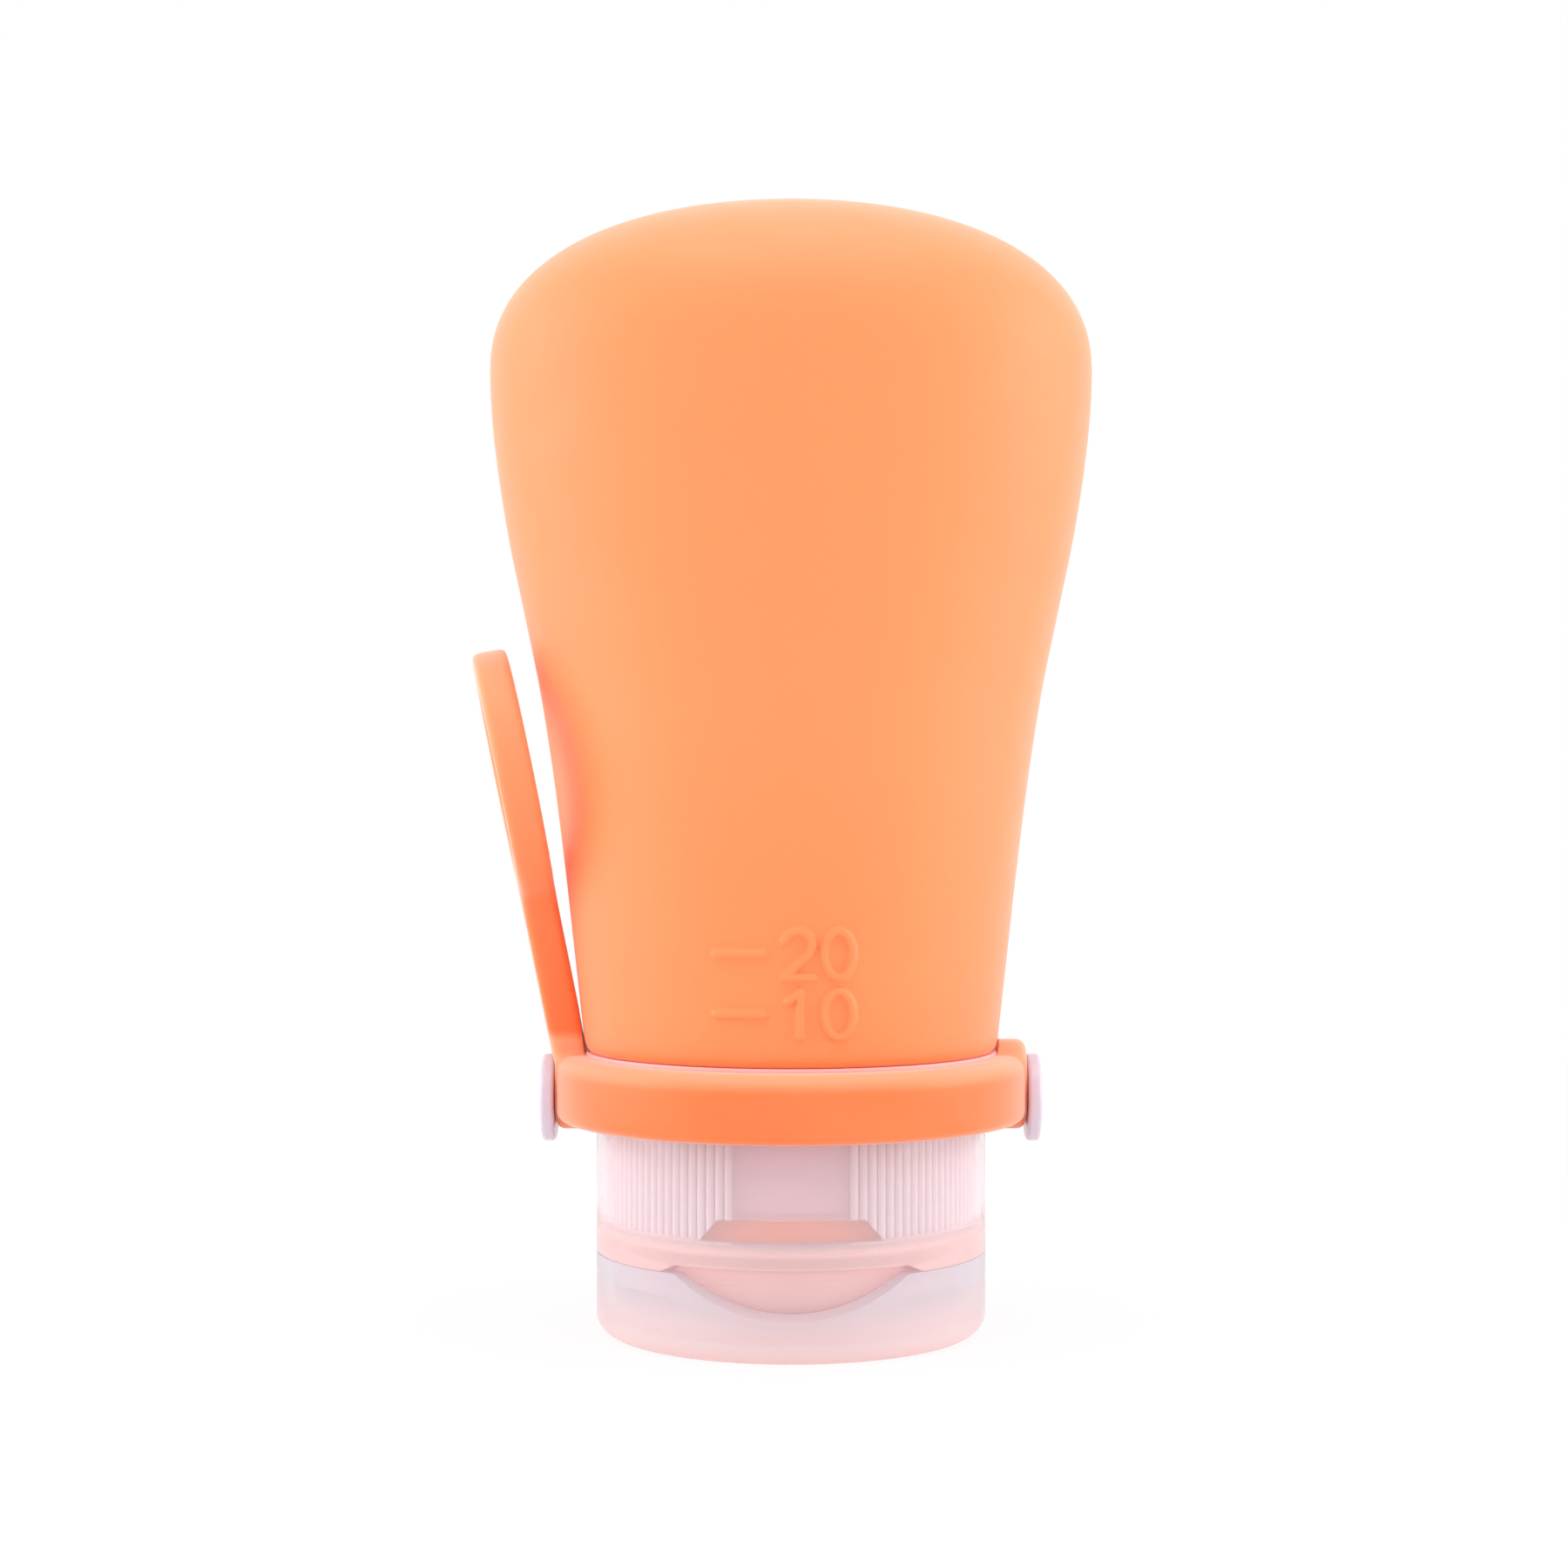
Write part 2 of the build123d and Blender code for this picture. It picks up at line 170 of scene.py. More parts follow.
# Clear shell of the cap, with its deck and crown
cap_radius, shell_inner_radius = shell_high.x, 15.15
shell_bottom, deck_top = 6.82, 8.21
crown_radius, crown_inner_radius, crown_bottom = 14.3, 13.1, shell_low.z
crown_cover, crown_cover_share = 0.6, 0.6
outlet_radius = 3.3
shell_round, shell_rim_round, deck_round = 0.25, 0.06, 0.35
shell_columns = 150, 160

# Liner, seal and window
liner_root_radius, liner_inner_radius, liner_floor_radius = 14.82, 14.02, 6.43
liner_floor_top = 9.19
liner_columns = 256
rib_depth, rib_sides = 0.3, 12
smooth_front = math.radians(38)
window_bottom, window_top = 9.35, 11.1
window_half_bottom, window_half_top = 7.2, 5.7
seal_inner_radius = 11.9

# Flip lid
lid_top, lid_inner_radius, lid_floor = 6.78, 14.5, 1.3
lid_round, lid_inner_round, lid_rim_round = 1.8, 1.1, 0.06
lid_columns = 180, 160
notch_half_width, notch_depth, notch_rise = 9.1, 3.3, 0.5
notch_lift, notch_ramp, notch_softness = 0.55, 1.2, 0.07
notch_half_angle = math.radians(46)
spigot_radius, spigot_wall, spigot_reach = 3.05, 0.7, 0.75

# Film hinge and the flat lands that it joins
hinge_height = 6.8
land_half_width, land_depth, land_height, land_round = 5.0, 1.0, 3.0, 0.45
film_half_width, film_thickness, film_reach, film_sink = 4.5, 0.3, 2.3, 0.05
film_bulge, film_bulge_fall, film_bend = 0.3, 3, 0.6
film_steps = 28

# Heights between which the finishes change, and the depth of their relief
# The bottle's colour is darkest at its foot and plain higher up: partly its own deeper tone, partly painted
# shade where less light reaches low down.
body_darkest_below, body_plain_above = foot_height, 50.0
# The strap's colour runs from the band colour low down to the strap colour high up: painted shade near the
# band and the bottle, painted light higher up.
strap_shaded_below, strap_lit_above = 25.0, 52.0
# painted highlight where light from above falls on the band's rounded top edge and the bosses' tops: its
# margin under the band's top and over the bosses' tops, and how far over them it fades out
edge_highlight_margin, edge_highlight_fade = 0.1, 0.9
deck_milky_below, shell_clear_above, crown_clear_drop = 8.6, 9.7, 7.0
# the lid's lower part is pinker as a painted glow of light from the orange pieces within the cap
lid_glow_below, lid_clear_above = 0.4, 5.0
relief_depth = 0.02

# Lamps, in metres; the camera and the floor, in millimetres
lamp_aim = (0, 0, 0.05)
side_lamp_out, side_lamp_front, side_lamp_height, side_lamp_size = 0.46, -0.03, 0.1, (0.35, 0.5)
top_lamp_place, top_lamp_size = (0, -0.08, 0.5), (0.4, 0.4)
camera_left, camera_height, camera_sensor = 0.571, 44.7, 36
floor_half_width = 3000
floor_shade, floor_shade_near, floor_shade_far = 0.86, 40, 260


def length_setting(name, description, millimetres, **limits):
    """A length among the settings."""
    return FloatProperty(
        name=name, description=description, default=millimetres * MM, unit="LENGTH", **limits)


def colour_setting(name, description, default):
    """A colour among the settings."""
    return FloatVectorProperty(
        name=name, description=description, subtype="COLOR", size=4, min=0, max=1, default=default)


class BottleSizes(bpy.types.PropertyGroup):
    """Sizes of the visible pieces that a user may change."""

    mark_height: length_setting(
        "Mark height", "How far the level marks stand proud of the bottle", 0.38, min=0)
    strap_voxel: length_setting(
        "Strap voxel", "Grid that joins the band, its bosses and the strap", 0.2, min=0.1 * MM)
    strap_softening: IntProperty(
        name="Strap softening", description="Rounds of smoothing over the strap's joins",
        default=10, min=0)
    rib_count: IntProperty(
        name="Ribs", description="Ribs round the liner, apart from its smooth front",
        default=108, min=2)
    rib_width: length_setting("Rib width", "Width of one rib", 0.68)
    thread_pitch: length_setting("Thread pitch", "Rise of the neck's thread in one turn", 3.0)
    thread_turns: FloatProperty(
        name="Thread turns", description="Turns of the neck's thread", default=1.6, min=0.1)
    thread_size: length_setting("Thread size", "Half the height of the thread's rounded ridge", 0.55)


class BottleColours(bpy.types.PropertyGroup):
    """Colours of the pieces."""

    silicone: colour_setting("Silicone", "Colour of the bottle's soft shell", screen(254, 152, 94))
    # Partly the silicone's own deeper tone and partly painted shade where less light reaches low on the
    # bottle; the shell is no thicker there.
    silicone_foot_tone_and_shade: colour_setting(
        "Silicone at the foot", "Colour where the shell is thick", screen(253, 143, 85))
    # Painted light and shade: the strap is painted darker low down by the band and the bottle, and lighter
    # high up where light from above falls; it is no thinner there.
    strap: colour_setting("Strap", "Colour of the strap's thin upper part", screen(255, 158, 108))
    band: colour_setting("Band", "Colour of the band and the foot of the strap", screen(252, 122, 60))
    # A painted highlight, not a thinner edge: a paler colour on the band's rounded top edge and the bosses'
    # tops, where light from above falls.
    band_top_highlight: colour_setting("Band edge", "Colour of the band's thin upper edge", screen(255, 172, 130))
    seal: colour_setting("Seal", "Colour of the seal ring and the valve", screen(252, 142, 86))
    clear: colour_setting("Clear shell", "Tint of the cap's shell", (0.98, 0.895, 0.92, 1.0))
    milky: colour_setting("Milky deck", "Tint of the cap's shell down at its deck", (1.0, 0.76, 0.75, 1.0))
    lid: colour_setting("Lid", "Tint of the lid's wall", (0.84, 0.82, 0.87, 1.0))
    # A painted glow: this pink stands in for light from the orange pieces within the cap, falling on the
    # lid's lower wall and floor.
    lid_floor: colour_setting("Lid floor", "Tint of the lid near its floor", (0.93, 0.68, 0.67, 1.0))
    liner: colour_setting("Liner", "Tint of the ribbed liner", (1.0, 0.88, 0.925, 1.0))
    ribs: colour_setting("Ribs", "Tint of the liner's ribs", (1.0, 0.93, 0.955, 1.0))
    neck: colour_setting("Neck", "Colour of the neck", (1.0, 0.87, 0.92, 1.0))
    collar: colour_setting("Collar", "Colour of the collar", screen(253, 193, 190))
    stud: colour_setting("Studs", "Colour of the strap's studs", (0.7, 0.61, 0.72, 1.0))


class StageSettings(bpy.types.PropertyGroup):
    """Light and camera."""

    side_light: FloatProperty(
        name="Side light", description="Power of each of the two large lamps", default=1.1,
        min=0, unit="POWER")
    top_light: FloatProperty(
        name="Top light", description="Power of the lamp above", default=0.8, min=0, unit="POWER")
    ambient: FloatProperty(
        name="Ambient", description="Strength of the even light from all round", default=0.86,
        min=0, subtype="FACTOR")
    camera_distance: length_setting("Camera distance", "From the lens to the bottle's axis", 233)
    lens: FloatProperty(
        name="Lens", description="Focal length on a 36 mm sensor, in millimetres", default=65.24,
        min=1, unit="CAMERA")


# Meshes

def unshadowed(made):
    """Lets light pass an object of the clear cap, whose walls would otherwise darken one another."""
    made.visible_shadow = False
    return made


def piece(name, points, faces, material, soft_angle=SOFT_ANGLE):
    """A finished object at the origin from points in millimetres, shaded smooth up to soft_angle."""
    mesh = bpy.data.meshes.new(name)
    mesh.from_pydata([tuple(c * MM for c in p) for p in points], [], faces)
    return finished(name, mesh, material, soft_angle)


def finished(name, mesh, material, soft_angle=SOFT_ANGLE):
    """Links a mesh as an object of this name, with its faces turned outwards and its shading set."""
    work = bmesh.new()
    work.from_mesh(mesh)
    bmesh.ops.remove_doubles(work, verts=work.verts, dist=MERGED)
    bmesh.ops.recalc_face_normals(work, faces=work.faces)
    work.to_mesh(mesh)
    work.free()
    mesh.shade_smooth()
    mesh.set_sharp_from_angle(angle=math.radians(soft_angle))
    mesh.materials.clear()
    mesh.materials.append(material)
    made = bpy.data.objects.new(name, mesh)
    bpy.context.scene.collection.objects.link(made)
    return made


def evaluated_mesh(source, name):
    """A plain mesh of an object with its modifiers worked in; the source object goes."""
    graph = bpy.context.evaluated_depsgraph_get()
    mesh = bpy.data.meshes.new_from_object(source.evaluated_get(graph), depsgraph=graph)
    mesh.name = name
    source.modifiers.clear()
    bpy.data.objects.remove(source)
    return mesh


def joined(name, parts, material):
    """One object from several that each are closed; the parts go."""
    work = bmesh.new()
    for part in parts:
        work.from_mesh(part.data)
        bpy.data.objects.remove(part)
    mesh = bpy.data.meshes.new(name)
    work.to_mesh(mesh)
    work.free()
    return finished(name, mesh, material)


def placed(made, matrix):
    """Moves an object's mesh, and leaves the object at the origin."""
    made.data.transform(matrix)
    made.data.update()
    return made


def rounded(points, steps=6):
    """A profile from (radius, height, round) points, with an arc of that round at each corner."""
    path = []
    for i, (r, z, amount) in enumerate(points):
        here = Vector((r, z))
        if amount == 0:
            path.append((r, z))
            continue
        back = (Vector(points[i - 1][:2]) - here).normalized()
        on = (Vector(points[(i + 1) % len(points)][:2]) - here).normalized()
        half = math.acos(max(-1, min(1, back.dot(on)))) / 2
        middle = here + (back + on).normalized() * (amount / math.sin(half))
        start = here + back * (amount / math.tan(half)) - middle
        end = here + on * (amount / math.tan(half)) - middle
        sweep = start.angle_signed(end)
        for step in range(steps + 1):
            path.append(tuple(middle + Matrix.Rotation(-sweep * step / steps, 2) @ start))
    return path


def arc_points(middle, radii, start, end, steps=18):
    """Points along an arc of an ellipse, its angles in degrees."""
    turns = np.radians(np.linspace(start, end, steps))
    return [(middle[0] + radii[0] * math.cos(t), middle[1] + radii[1] * math.sin(t)) for t in turns]


def even_angles(count):
    """Angles all round, evenly spaced, the first at the front."""
    return [-math.pi / 2 + math.tau * i / count for i in range(count)]


def front_dense_angles(half_angle, fine_count, coarse_count):
    """Angles all round, closer together within half_angle of the front."""
    fine = np.linspace(-half_angle, half_angle, fine_count)
    coarse = np.linspace(half_angle, math.tau - half_angle, coarse_count + 2)[1:-1]
    return [-math.pi / 2 + a for a in [*fine, *coarse]]


def net(rows, columns, rows_close=False, columns_close=True):
    """Four-sided faces over rows of points; what closes is also joined from its last to its first."""
    return [(i * columns + j, i * columns + (j + 1) % columns,
             (i + 1) % rows * columns + (j + 1) % columns, (i + 1) % rows * columns + j)
            for i in range(rows if rows_close else rows - 1)
            for j in range(columns if columns_close else columns - 1)]


def stacked(name, rings, material):
    """A closed solid through rings of points, with a flat face on the first and on the last."""
    count = len(rings[0])
    points = [point for ring in rings for point in ring]
    ends = [tuple(range(count)), tuple(range(len(points) - count, len(points)))]
    return piece(name, points, net(len(rings), count) + ends, material)


def swept_round(name, profile_at, angles, material, ring=False):
    """A solid turned about Z whose (radius, height) profile may change with the angle.

    A ring has a closed profile that stays off the axis; otherwise both ends lie on the axis.
    """
    columns = [profile_at(a) for a in angles]
    points = [(r * math.cos(a), r * math.sin(a), z) for a, column in zip(angles, columns) for r, z in column]
    faces = net(len(angles), len(columns[0]), rows_close=True, columns_close=ring)
    return piece(name, points, faces, material)


def turned(name, profile, material, ring=False, columns=turn_columns):
    """A solid turned about Z from one profile."""
    return swept_round(name, lambda angle: profile, even_angles(columns), material, ring)


# Node trees that make what repeats

def fill(tree, node, values):
    """Sets or links inputs of a node by name or number; a value is a constant or another node's socket."""
    for key, value in values.items():
        if isinstance(value, bpy.types.NodeSocket):
            tree.links.new(value, node.inputs[key])
        else:
            node.inputs[key].default_value = value


def add(tree, kind, values=None, **settings):
    """A new node of this kind with its settings made and its inputs filled."""
    node = tree.nodes.new(kind)
    for name, value in settings.items():
        setattr(node, name, value)
    fill(tree, node, values or {})
    return node


def number(tree, operation, *values):
    """The result of a Math node."""
    return add(tree, "ShaderNodeMath", dict(enumerate(values)), operation=operation).outputs[0]


def vector(tree, *values):
    """The result of a Combine XYZ node."""
    return add(tree, "ShaderNodeCombineXYZ", dict(enumerate(values))).outputs[0]


def new_tree(name, *labels):
    """A Geometry Nodes tree with these inputs and a material, its inputs' sockets and its output node."""
    tree = bpy.data.node_groups.new(name, "GeometryNodeTree")
    kinds = {"Count": "NodeSocketInt", "Material": "NodeSocketMaterial"}
    for label in (*labels, "Material"):
        kind = kinds.get(label, "NodeSocketFloat")
        tree.interface.new_socket(label, in_out="INPUT", socket_type=kind)
    tree.interface.new_socket("Geometry", in_out="OUTPUT", socket_type="NodeSocketGeometry")
    return tree, tree.nodes.new("NodeGroupInput").outputs, tree.nodes.new("NodeGroupOutput")


def closed_tree(tree, geometry, material, out):
    """Ends a tree in Realize Instances and Set Material."""
    realize = add(tree, "GeometryNodeRealizeInstances", {"Geometry": geometry})
    paint = add(tree, "GeometryNodeSetMaterial", {
        "Geometry": realize.outputs["Geometry"], "Material": material})
    fill(tree, out, {"Geometry": paint.outputs["Geometry"]})
    return tree


def ribs_tree():
    """Upright ribs round a cylinder."""
    tree, size, out = new_tree(
        "Liner ribs", "Count", "First angle", "Step angle", "Radius", "Depth", "Width", "Bottom", "Top")
    index = add(tree, "GeometryNodeInputIndex").outputs[0]
    angle = number(tree, "ADD", size["First angle"], number(tree, "MULTIPLY", index, size["Step angle"]))
    x = number(tree, "MULTIPLY", size["Radius"], number(tree, "COSINE", angle))
    y = number(tree, "MULTIPLY", size["Radius"], number(tree, "SINE", angle))
    middle = number(tree, "MULTIPLY", number(tree, "ADD", size["Top"], size["Bottom"]), 0.5)
    line = add(tree, "GeometryNodeMeshLine", {"Count": size["Count"]})
    place = add(tree, "GeometryNodeSetPosition", {
        "Geometry": line.outputs["Mesh"], "Position": vector(tree, x, y, middle)})
    rib = add(tree, "GeometryNodeMeshCylinder", {"Vertices": rib_sides, "Radius": 0.5, "Depth": 1})
    depth = number(tree, "MULTIPLY", size["Depth"], 2.0)
    height = number(tree, "SUBTRACT", size["Top"], size["Bottom"])
    copies = add(tree, "GeometryNodeInstanceOnPoints", {
        "Points": place.outputs["Geometry"], "Instance": rib.outputs["Mesh"],
        "Rotation": vector(tree, 0.0, 0.0, angle), "Scale": vector(tree, depth, size["Width"], height)})
    return closed_tree(tree, copies.outputs["Instances"], size["Material"], out)


def thread_tree():
    """A rounded ridge on a helix, tapered at both ends."""
    tree, size, out = new_tree("Thread", "Turns", "Pitch", "Radius", "Size", "Start height", "Taper share")
    helix = add(tree, "GeometryNodeCurveSpiral", {
        "Resolution": thread_columns, "Rotations": size["Turns"], "Start Radius": size["Radius"],
        "End Radius": size["Radius"], "Height": number(tree, "MULTIPLY", size["Turns"], size["Pitch"])})
    lift = add(tree, "GeometryNodeSetPosition", {
        "Geometry": helix.outputs["Curve"], "Offset": vector(tree, 0.0, 0.0, size["Start height"])})
    along = add(tree, "GeometryNodeSplineParameter").outputs["Factor"]
    to_end = number(tree, "MINIMUM", along, number(tree, "SUBTRACT", 1.0, along))
    taper = number(tree, "MINIMUM", number(tree, "DIVIDE", to_end, size["Taper share"]), 1.0)
    ridge = add(tree, "GeometryNodeCurvePrimitiveCircle", {
        "Resolution": thread_sides, "Radius": size["Size"]})
    sweep = add(tree, "GeometryNodeCurveToMesh", {
        "Curve": lift.outputs["Geometry"], "Profile Curve": ridge.outputs["Curve"],
        "Scale": number(tree, "MAXIMUM", taper, thread_end_share), "Fill Caps": True})
    return closed_tree(tree, sweep.outputs["Mesh"], size["Material"], out)


def run_tree(tree, name, values):
    """The mesh that a tree makes with these inputs, as an object with no modifier."""
    carrier = bpy.data.objects.new(name + "_carrier", bpy.data.meshes.new(name + "_carrier"))
    bpy.context.scene.collection.objects.link(carrier)
    modifier = carrier.modifiers.new("Nodes", "NODES")
    modifier.node_group = tree
    for item in tree.interface.items_tree:
        if item.in_out == "INPUT":
            modifier[item.identifier] = values[item.name]
    return finished(name, evaluated_mesh(carrier, name), values["Material"])


# Materials

def new_material(name):
    """A material, its tree and its Principled shader."""
    made = bpy.data.materials.new(name)
    made.use_nodes = True
    return made, made.node_tree, made.node_tree.nodes["Principled BSDF"]


def on_object(tree):
    """The place on the object, in metres."""
    return add(tree, "ShaderNodeTexCoord").outputs["Object"]


def object_noise(tree, scale, detail):
    """Noise fixed to the object, its scale in features per metre."""
    noise = add(tree, "ShaderNodeTexNoise", {"Vector": on_object(tree), "Scale": scale, "Detail": detail})
    return noise.outputs["Fac"]


def spread(tree, value, low, high, from_low=0.0, from_high=1.0):
    """A value mapped to the range from low to high."""
    return add(tree, "ShaderNodeMapRange", {
        "Value": value, "From Min": from_low, "From Max": from_high, "To Min": low, "To Max": high,
    }).outputs["Result"]


def clouded(tree, low, high, scale):
    """Cloudy noise spread from low to high; raw noise keeps mostly between 0.3 and 0.7."""
    return spread(tree, object_noise(tree, scale, detail=3), low, high, from_low=0.3, from_high=0.7)


def height_share(tree, low, high):
    """The share of the way from low to high, in millimetres up the object."""
    parts = add(tree, "ShaderNodeSeparateXYZ", {"Vector": on_object(tree)})
    return spread(tree, parts.outputs["Z"], 0.0, 1.0, low * MM, high * MM)


def mixed(tree, share, first, second):
    """A colour between two, by a share."""
    mix = add(tree, "ShaderNodeMix", {"Factor": share, "A": first, "B": second}, data_type="RGBA")
    return mix.outputs["Result"]


def paler(colour, factor, lift):
    """A colour made paler, and no brighter than white."""
    return tuple(min(1.0, c * factor + lift) for c in colour[:3]) + (1.0,)


def relief(tree, scale, strength):
    """A normal with a fine relief of this scale."""
    return add(tree, "ShaderNodeBump", {
        "Height": object_noise(tree, scale, detail=2), "Strength": strength, "Distance": relief_depth * MM,
    }).outputs["Normal"]


def satin_silicone(tree, shader, colour, deep, edge=None, *, low, high, sheen=0.5):
    """Soft satin silicone. Its colour runs by height from deep low down to colour higher up: painted shade
    low down, and on the bottle partly its own deeper tone too. edge, when given, is a painted highlight along
    the band's top edge and the bosses' tops, where light from above falls.
    """
    # Darker low down: painted shade, and on the bottle partly its own deeper tone.
    base = mixed(tree, height_share(tree, low, high), deep, colour)
    # Painted highlight: the colour turns paler from under the band's top edge up over the bosses' tops, where
    # light from above falls.
    if edge:
        band_highlight_share = height_share(tree, band_top - band_top_round, band_top - edge_highlight_margin)
        boss_highlight_share = height_share(tree, boss_top + edge_highlight_fade, boss_top + edge_highlight_margin)
        base = mixed(tree, number(tree, "MINIMUM", band_highlight_share, boss_highlight_share), base, edge)
    pale = paler(colour, factor=1.06, lift=0.006)
    fill(tree, shader, {
        "Base Color": mixed(tree, clouded(tree, 0.0, 0.22, scale=70), base, pale),
        "Subsurface Weight": 0.18, "Subsurface Radius": (1.0, 0.42, 0.2), "Subsurface Scale": 1.6 * MM,
        "IOR": 1.41, "Roughness": clouded(tree, 0.4, 0.5, scale=260),
        "Sheen Weight": sheen, "Sheen Roughness": 0.4, "Sheen Tint": screen(255, 236, 222),
        "Normal": relief(tree, scale=3200, strength=0.12)})


def shell_plastic(tree, shader, colour, milky):
    """Clear plastic, milky round the deck, where light scatters between the walls."""
    above = height_share(tree, deck_milky_below, shell_clear_above)
    below = height_share(tree, shell_bottom, shell_bottom - crown_clear_drop)
    clear = number(tree, "MAXIMUM", above, below)
    fill(tree, shader, {
        "Base Color": mixed(tree, clear, milky, colour),
        "Transmission Weight": spread(tree, clear, 0.4, 0.77),
        "IOR": 1.03, "Roughness": spread(tree, clear, 0.3, 0.1), "Coat Weight": 0.5, "Coat Roughness": 0.08})


def lid_plastic(tree, shader, colour, milky):
    """Frosted plastic, less clear towards the lid's floor and pinker there: the pink is a painted glow of
    light from the orange pieces within the cap.
    """
    rise = height_share(tree, lid_glow_below, lid_clear_above)
    fill(tree, shader, {
        "Base Color": mixed(tree, rise, milky, colour),
        "Transmission Weight": spread(tree, rise, 0.12, 0.6),
        "IOR": 1.05, "Roughness": clouded(tree, 0.3, 0.34, scale=340),
        "Coat Weight": 0.5, "Coat Roughness": 0.1})


def liner_plastic(tree, shader, colour, passes, ior, rough):
    """Clear plastic with a stronger tint; passes is the share of light that goes through."""
    fill(tree, shader, {
        "Base Color": colour, "Transmission Weight": passes, "IOR": ior, "Coat Weight": 0.3,
        "Roughness": clouded(tree, rough, rough * 1.4, scale=340)})


def solid_plastic(tree, shader, colour, rough_low, rough_high):
    """Moulded plastic with a faint translucence."""
    pale = paler(colour, factor=1.05, lift=0.01)
    fill(tree, shader, {
        "Base Color": mixed(tree, clouded(tree, 0.0, 1.0, scale=150), colour, pale),
        "Subsurface Weight": 0.15, "Subsurface Radius": (1.0, 0.8, 0.8), "Subsurface Scale": 0.8 * MM,
        "IOR": 1.49, "Roughness": clouded(tree, rough_low, rough_high, scale=500),
        "Normal": relief(tree, scale=900, strength=0.08)})


# what makes each finish, its colours among the settings, and its own values
FINISHES = {
    "bottle silicone": (satin_silicone, ("silicone", "silicone_foot_tone_and_shade"),
                        {"low": body_darkest_below, "high": body_plain_above}),
    "strap silicone": (satin_silicone, ("strap", "band", "band_top_highlight"),
                       {"low": strap_shaded_below, "high": strap_lit_above, "sheen": 0.9}),
    "seal silicone": (satin_silicone, ("seal", "seal"), {"low": seal_low.z, "high": body_plain_above}),
    "clear shell": (shell_plastic, ("clear", "milky"), {}),
    "clear lid": (lid_plastic, ("lid", "lid_floor"), {}),
    "ribbed liner": (liner_plastic, ("liner",), {"passes": 0.72, "ior": 1.05, "rough": 0.1}),
    "rib plastic": (liner_plastic, ("ribs",), {"passes": 0.22, "ior": 1.3, "rough": 0.04}),
    "neck plastic": (solid_plastic, ("neck",), {"rough_low": 0.3, "rough_high": 0.4}),
    "collar plastic": (solid_plastic, ("collar",), {"rough_low": 0.3, "rough_high": 0.42}),
    "stud plastic": (solid_plastic, ("stud",), {"rough_low": 0.2, "rough_high": 0.3}),
}


def finish_named(name):
    """The finish of this name, made when it is first asked for."""
    made = bpy.data.materials.get(name)
    if made is None:
        made, tree, shader = new_material(name)
        colours = bpy.context.scene.bottle_colours
        maker, tints, values = FINISHES[name]
        maker(tree, shader, *(tuple(getattr(colours, tint)) for tint in tints), **values)
    return made


# Soft bottle

def quarter_turns(steps):
    """Angles from zero to a right angle in this many steps."""
    return [math.pi / 2 * step / steps for step in range(steps + 1)]


def widening(share):
    """Share of the bottle's widening reached at this share of its height, on a smooth cubic curve."""
    heights, shares = np.array(side_shares).T
    slopes = np.gradient(shares, heights)
    slopes[-1] = shoulder_slope_share
    i = int(np.clip(np.searchsorted(heights, share) - 1, 0, len(heights) - 2))
    span = heights[i + 1] - heights[i]
    t = (share - heights[i]) / span
    return ((2 * t ** 3 - 3 * t ** 2 + 1) * shares[i] + (t ** 3 - 2 * t ** 2 + t) * span * slopes[i]
            + (3 * t ** 2 - 2 * t ** 3) * shares[i + 1] + (t ** 3 - t ** 2) * span * slopes[i + 1])


def half_sizes(height, inset=0.0):
    """Half the bottle's width and depth at a height below the shoulder."""
    share = widening((height - foot_height) / (shoulder_height - foot_height))
    return (foot_radius + share * (shoulder_half_width - foot_radius) - inset,
            foot_radius + share * (shoulder_half_depth - foot_radius) - inset)


def side_rows(top, bottom, count, inset=0.0, **ends):
    """(half width, half depth, height) rows of the side between two heights."""
    return [(*half_sizes(height, inset), height) for height in np.linspace(top, bottom, count, **ends)]


def dome_rows(inset, steps):
    """Rows of the closed end, from its top to the shoulder."""
    rows = []
    for step in range(steps):
        turn = math.pi / 2 * (1 - step / steps)
        out = max(math.cos(turn), 0) ** (2 / dome_power) if step else 0.0
        up = math.sin(turn) ** (2 / dome_power)
        rows.append(((shoulder_half_width - inset) * out, (shoulder_half_depth - inset) * out,
                     shoulder_height + (dome_height - inset) * up))
    return rows


def skin_rows():
    """Rows of the whole soft shell, from the top outside, through the foot's hole, to the top inside."""
    rows = dome_rows(0.0, dome_steps)
    rows += side_rows(shoulder_height, mark_high, plain_rows, endpoint=False)
    rows += side_rows(mark_high, mark_low, mark_rows, endpoint=False)
    rows += side_rows(mark_low, foot_height + foot_curve_up, low_rows)
    for turn in quarter_turns(foot_steps)[1:]:
        height = foot_height + foot_curve_up * (1 - math.sin(turn))
        rows.append((*half_sizes(height, foot_curve_in * (1 - math.cos(turn))), height))
    rows += [(r, r, foot_height) for r in (*foot_rings, foot_hole_radius)]
    rows += [(foot_hole_radius, foot_hole_radius, h) for h in (foot_height + foot_wall / 2, foot_top)]
    inner = half_sizes(foot_top, skin_wall)[0] - inner_foot_round
    for turn in quarter_turns(inner_round_steps):
        out = inner + inner_foot_round * math.sin(turn)
        rows.append((out, out, foot_top + inner_foot_round * (1 - math.cos(turn))))
    rows += side_rows(foot_top + 2 * inner_foot_round, shoulder_height, inner_rows, skin_wall, endpoint=False)
    return rows + dome_rows(skin_wall, inner_dome_steps)[::-1]


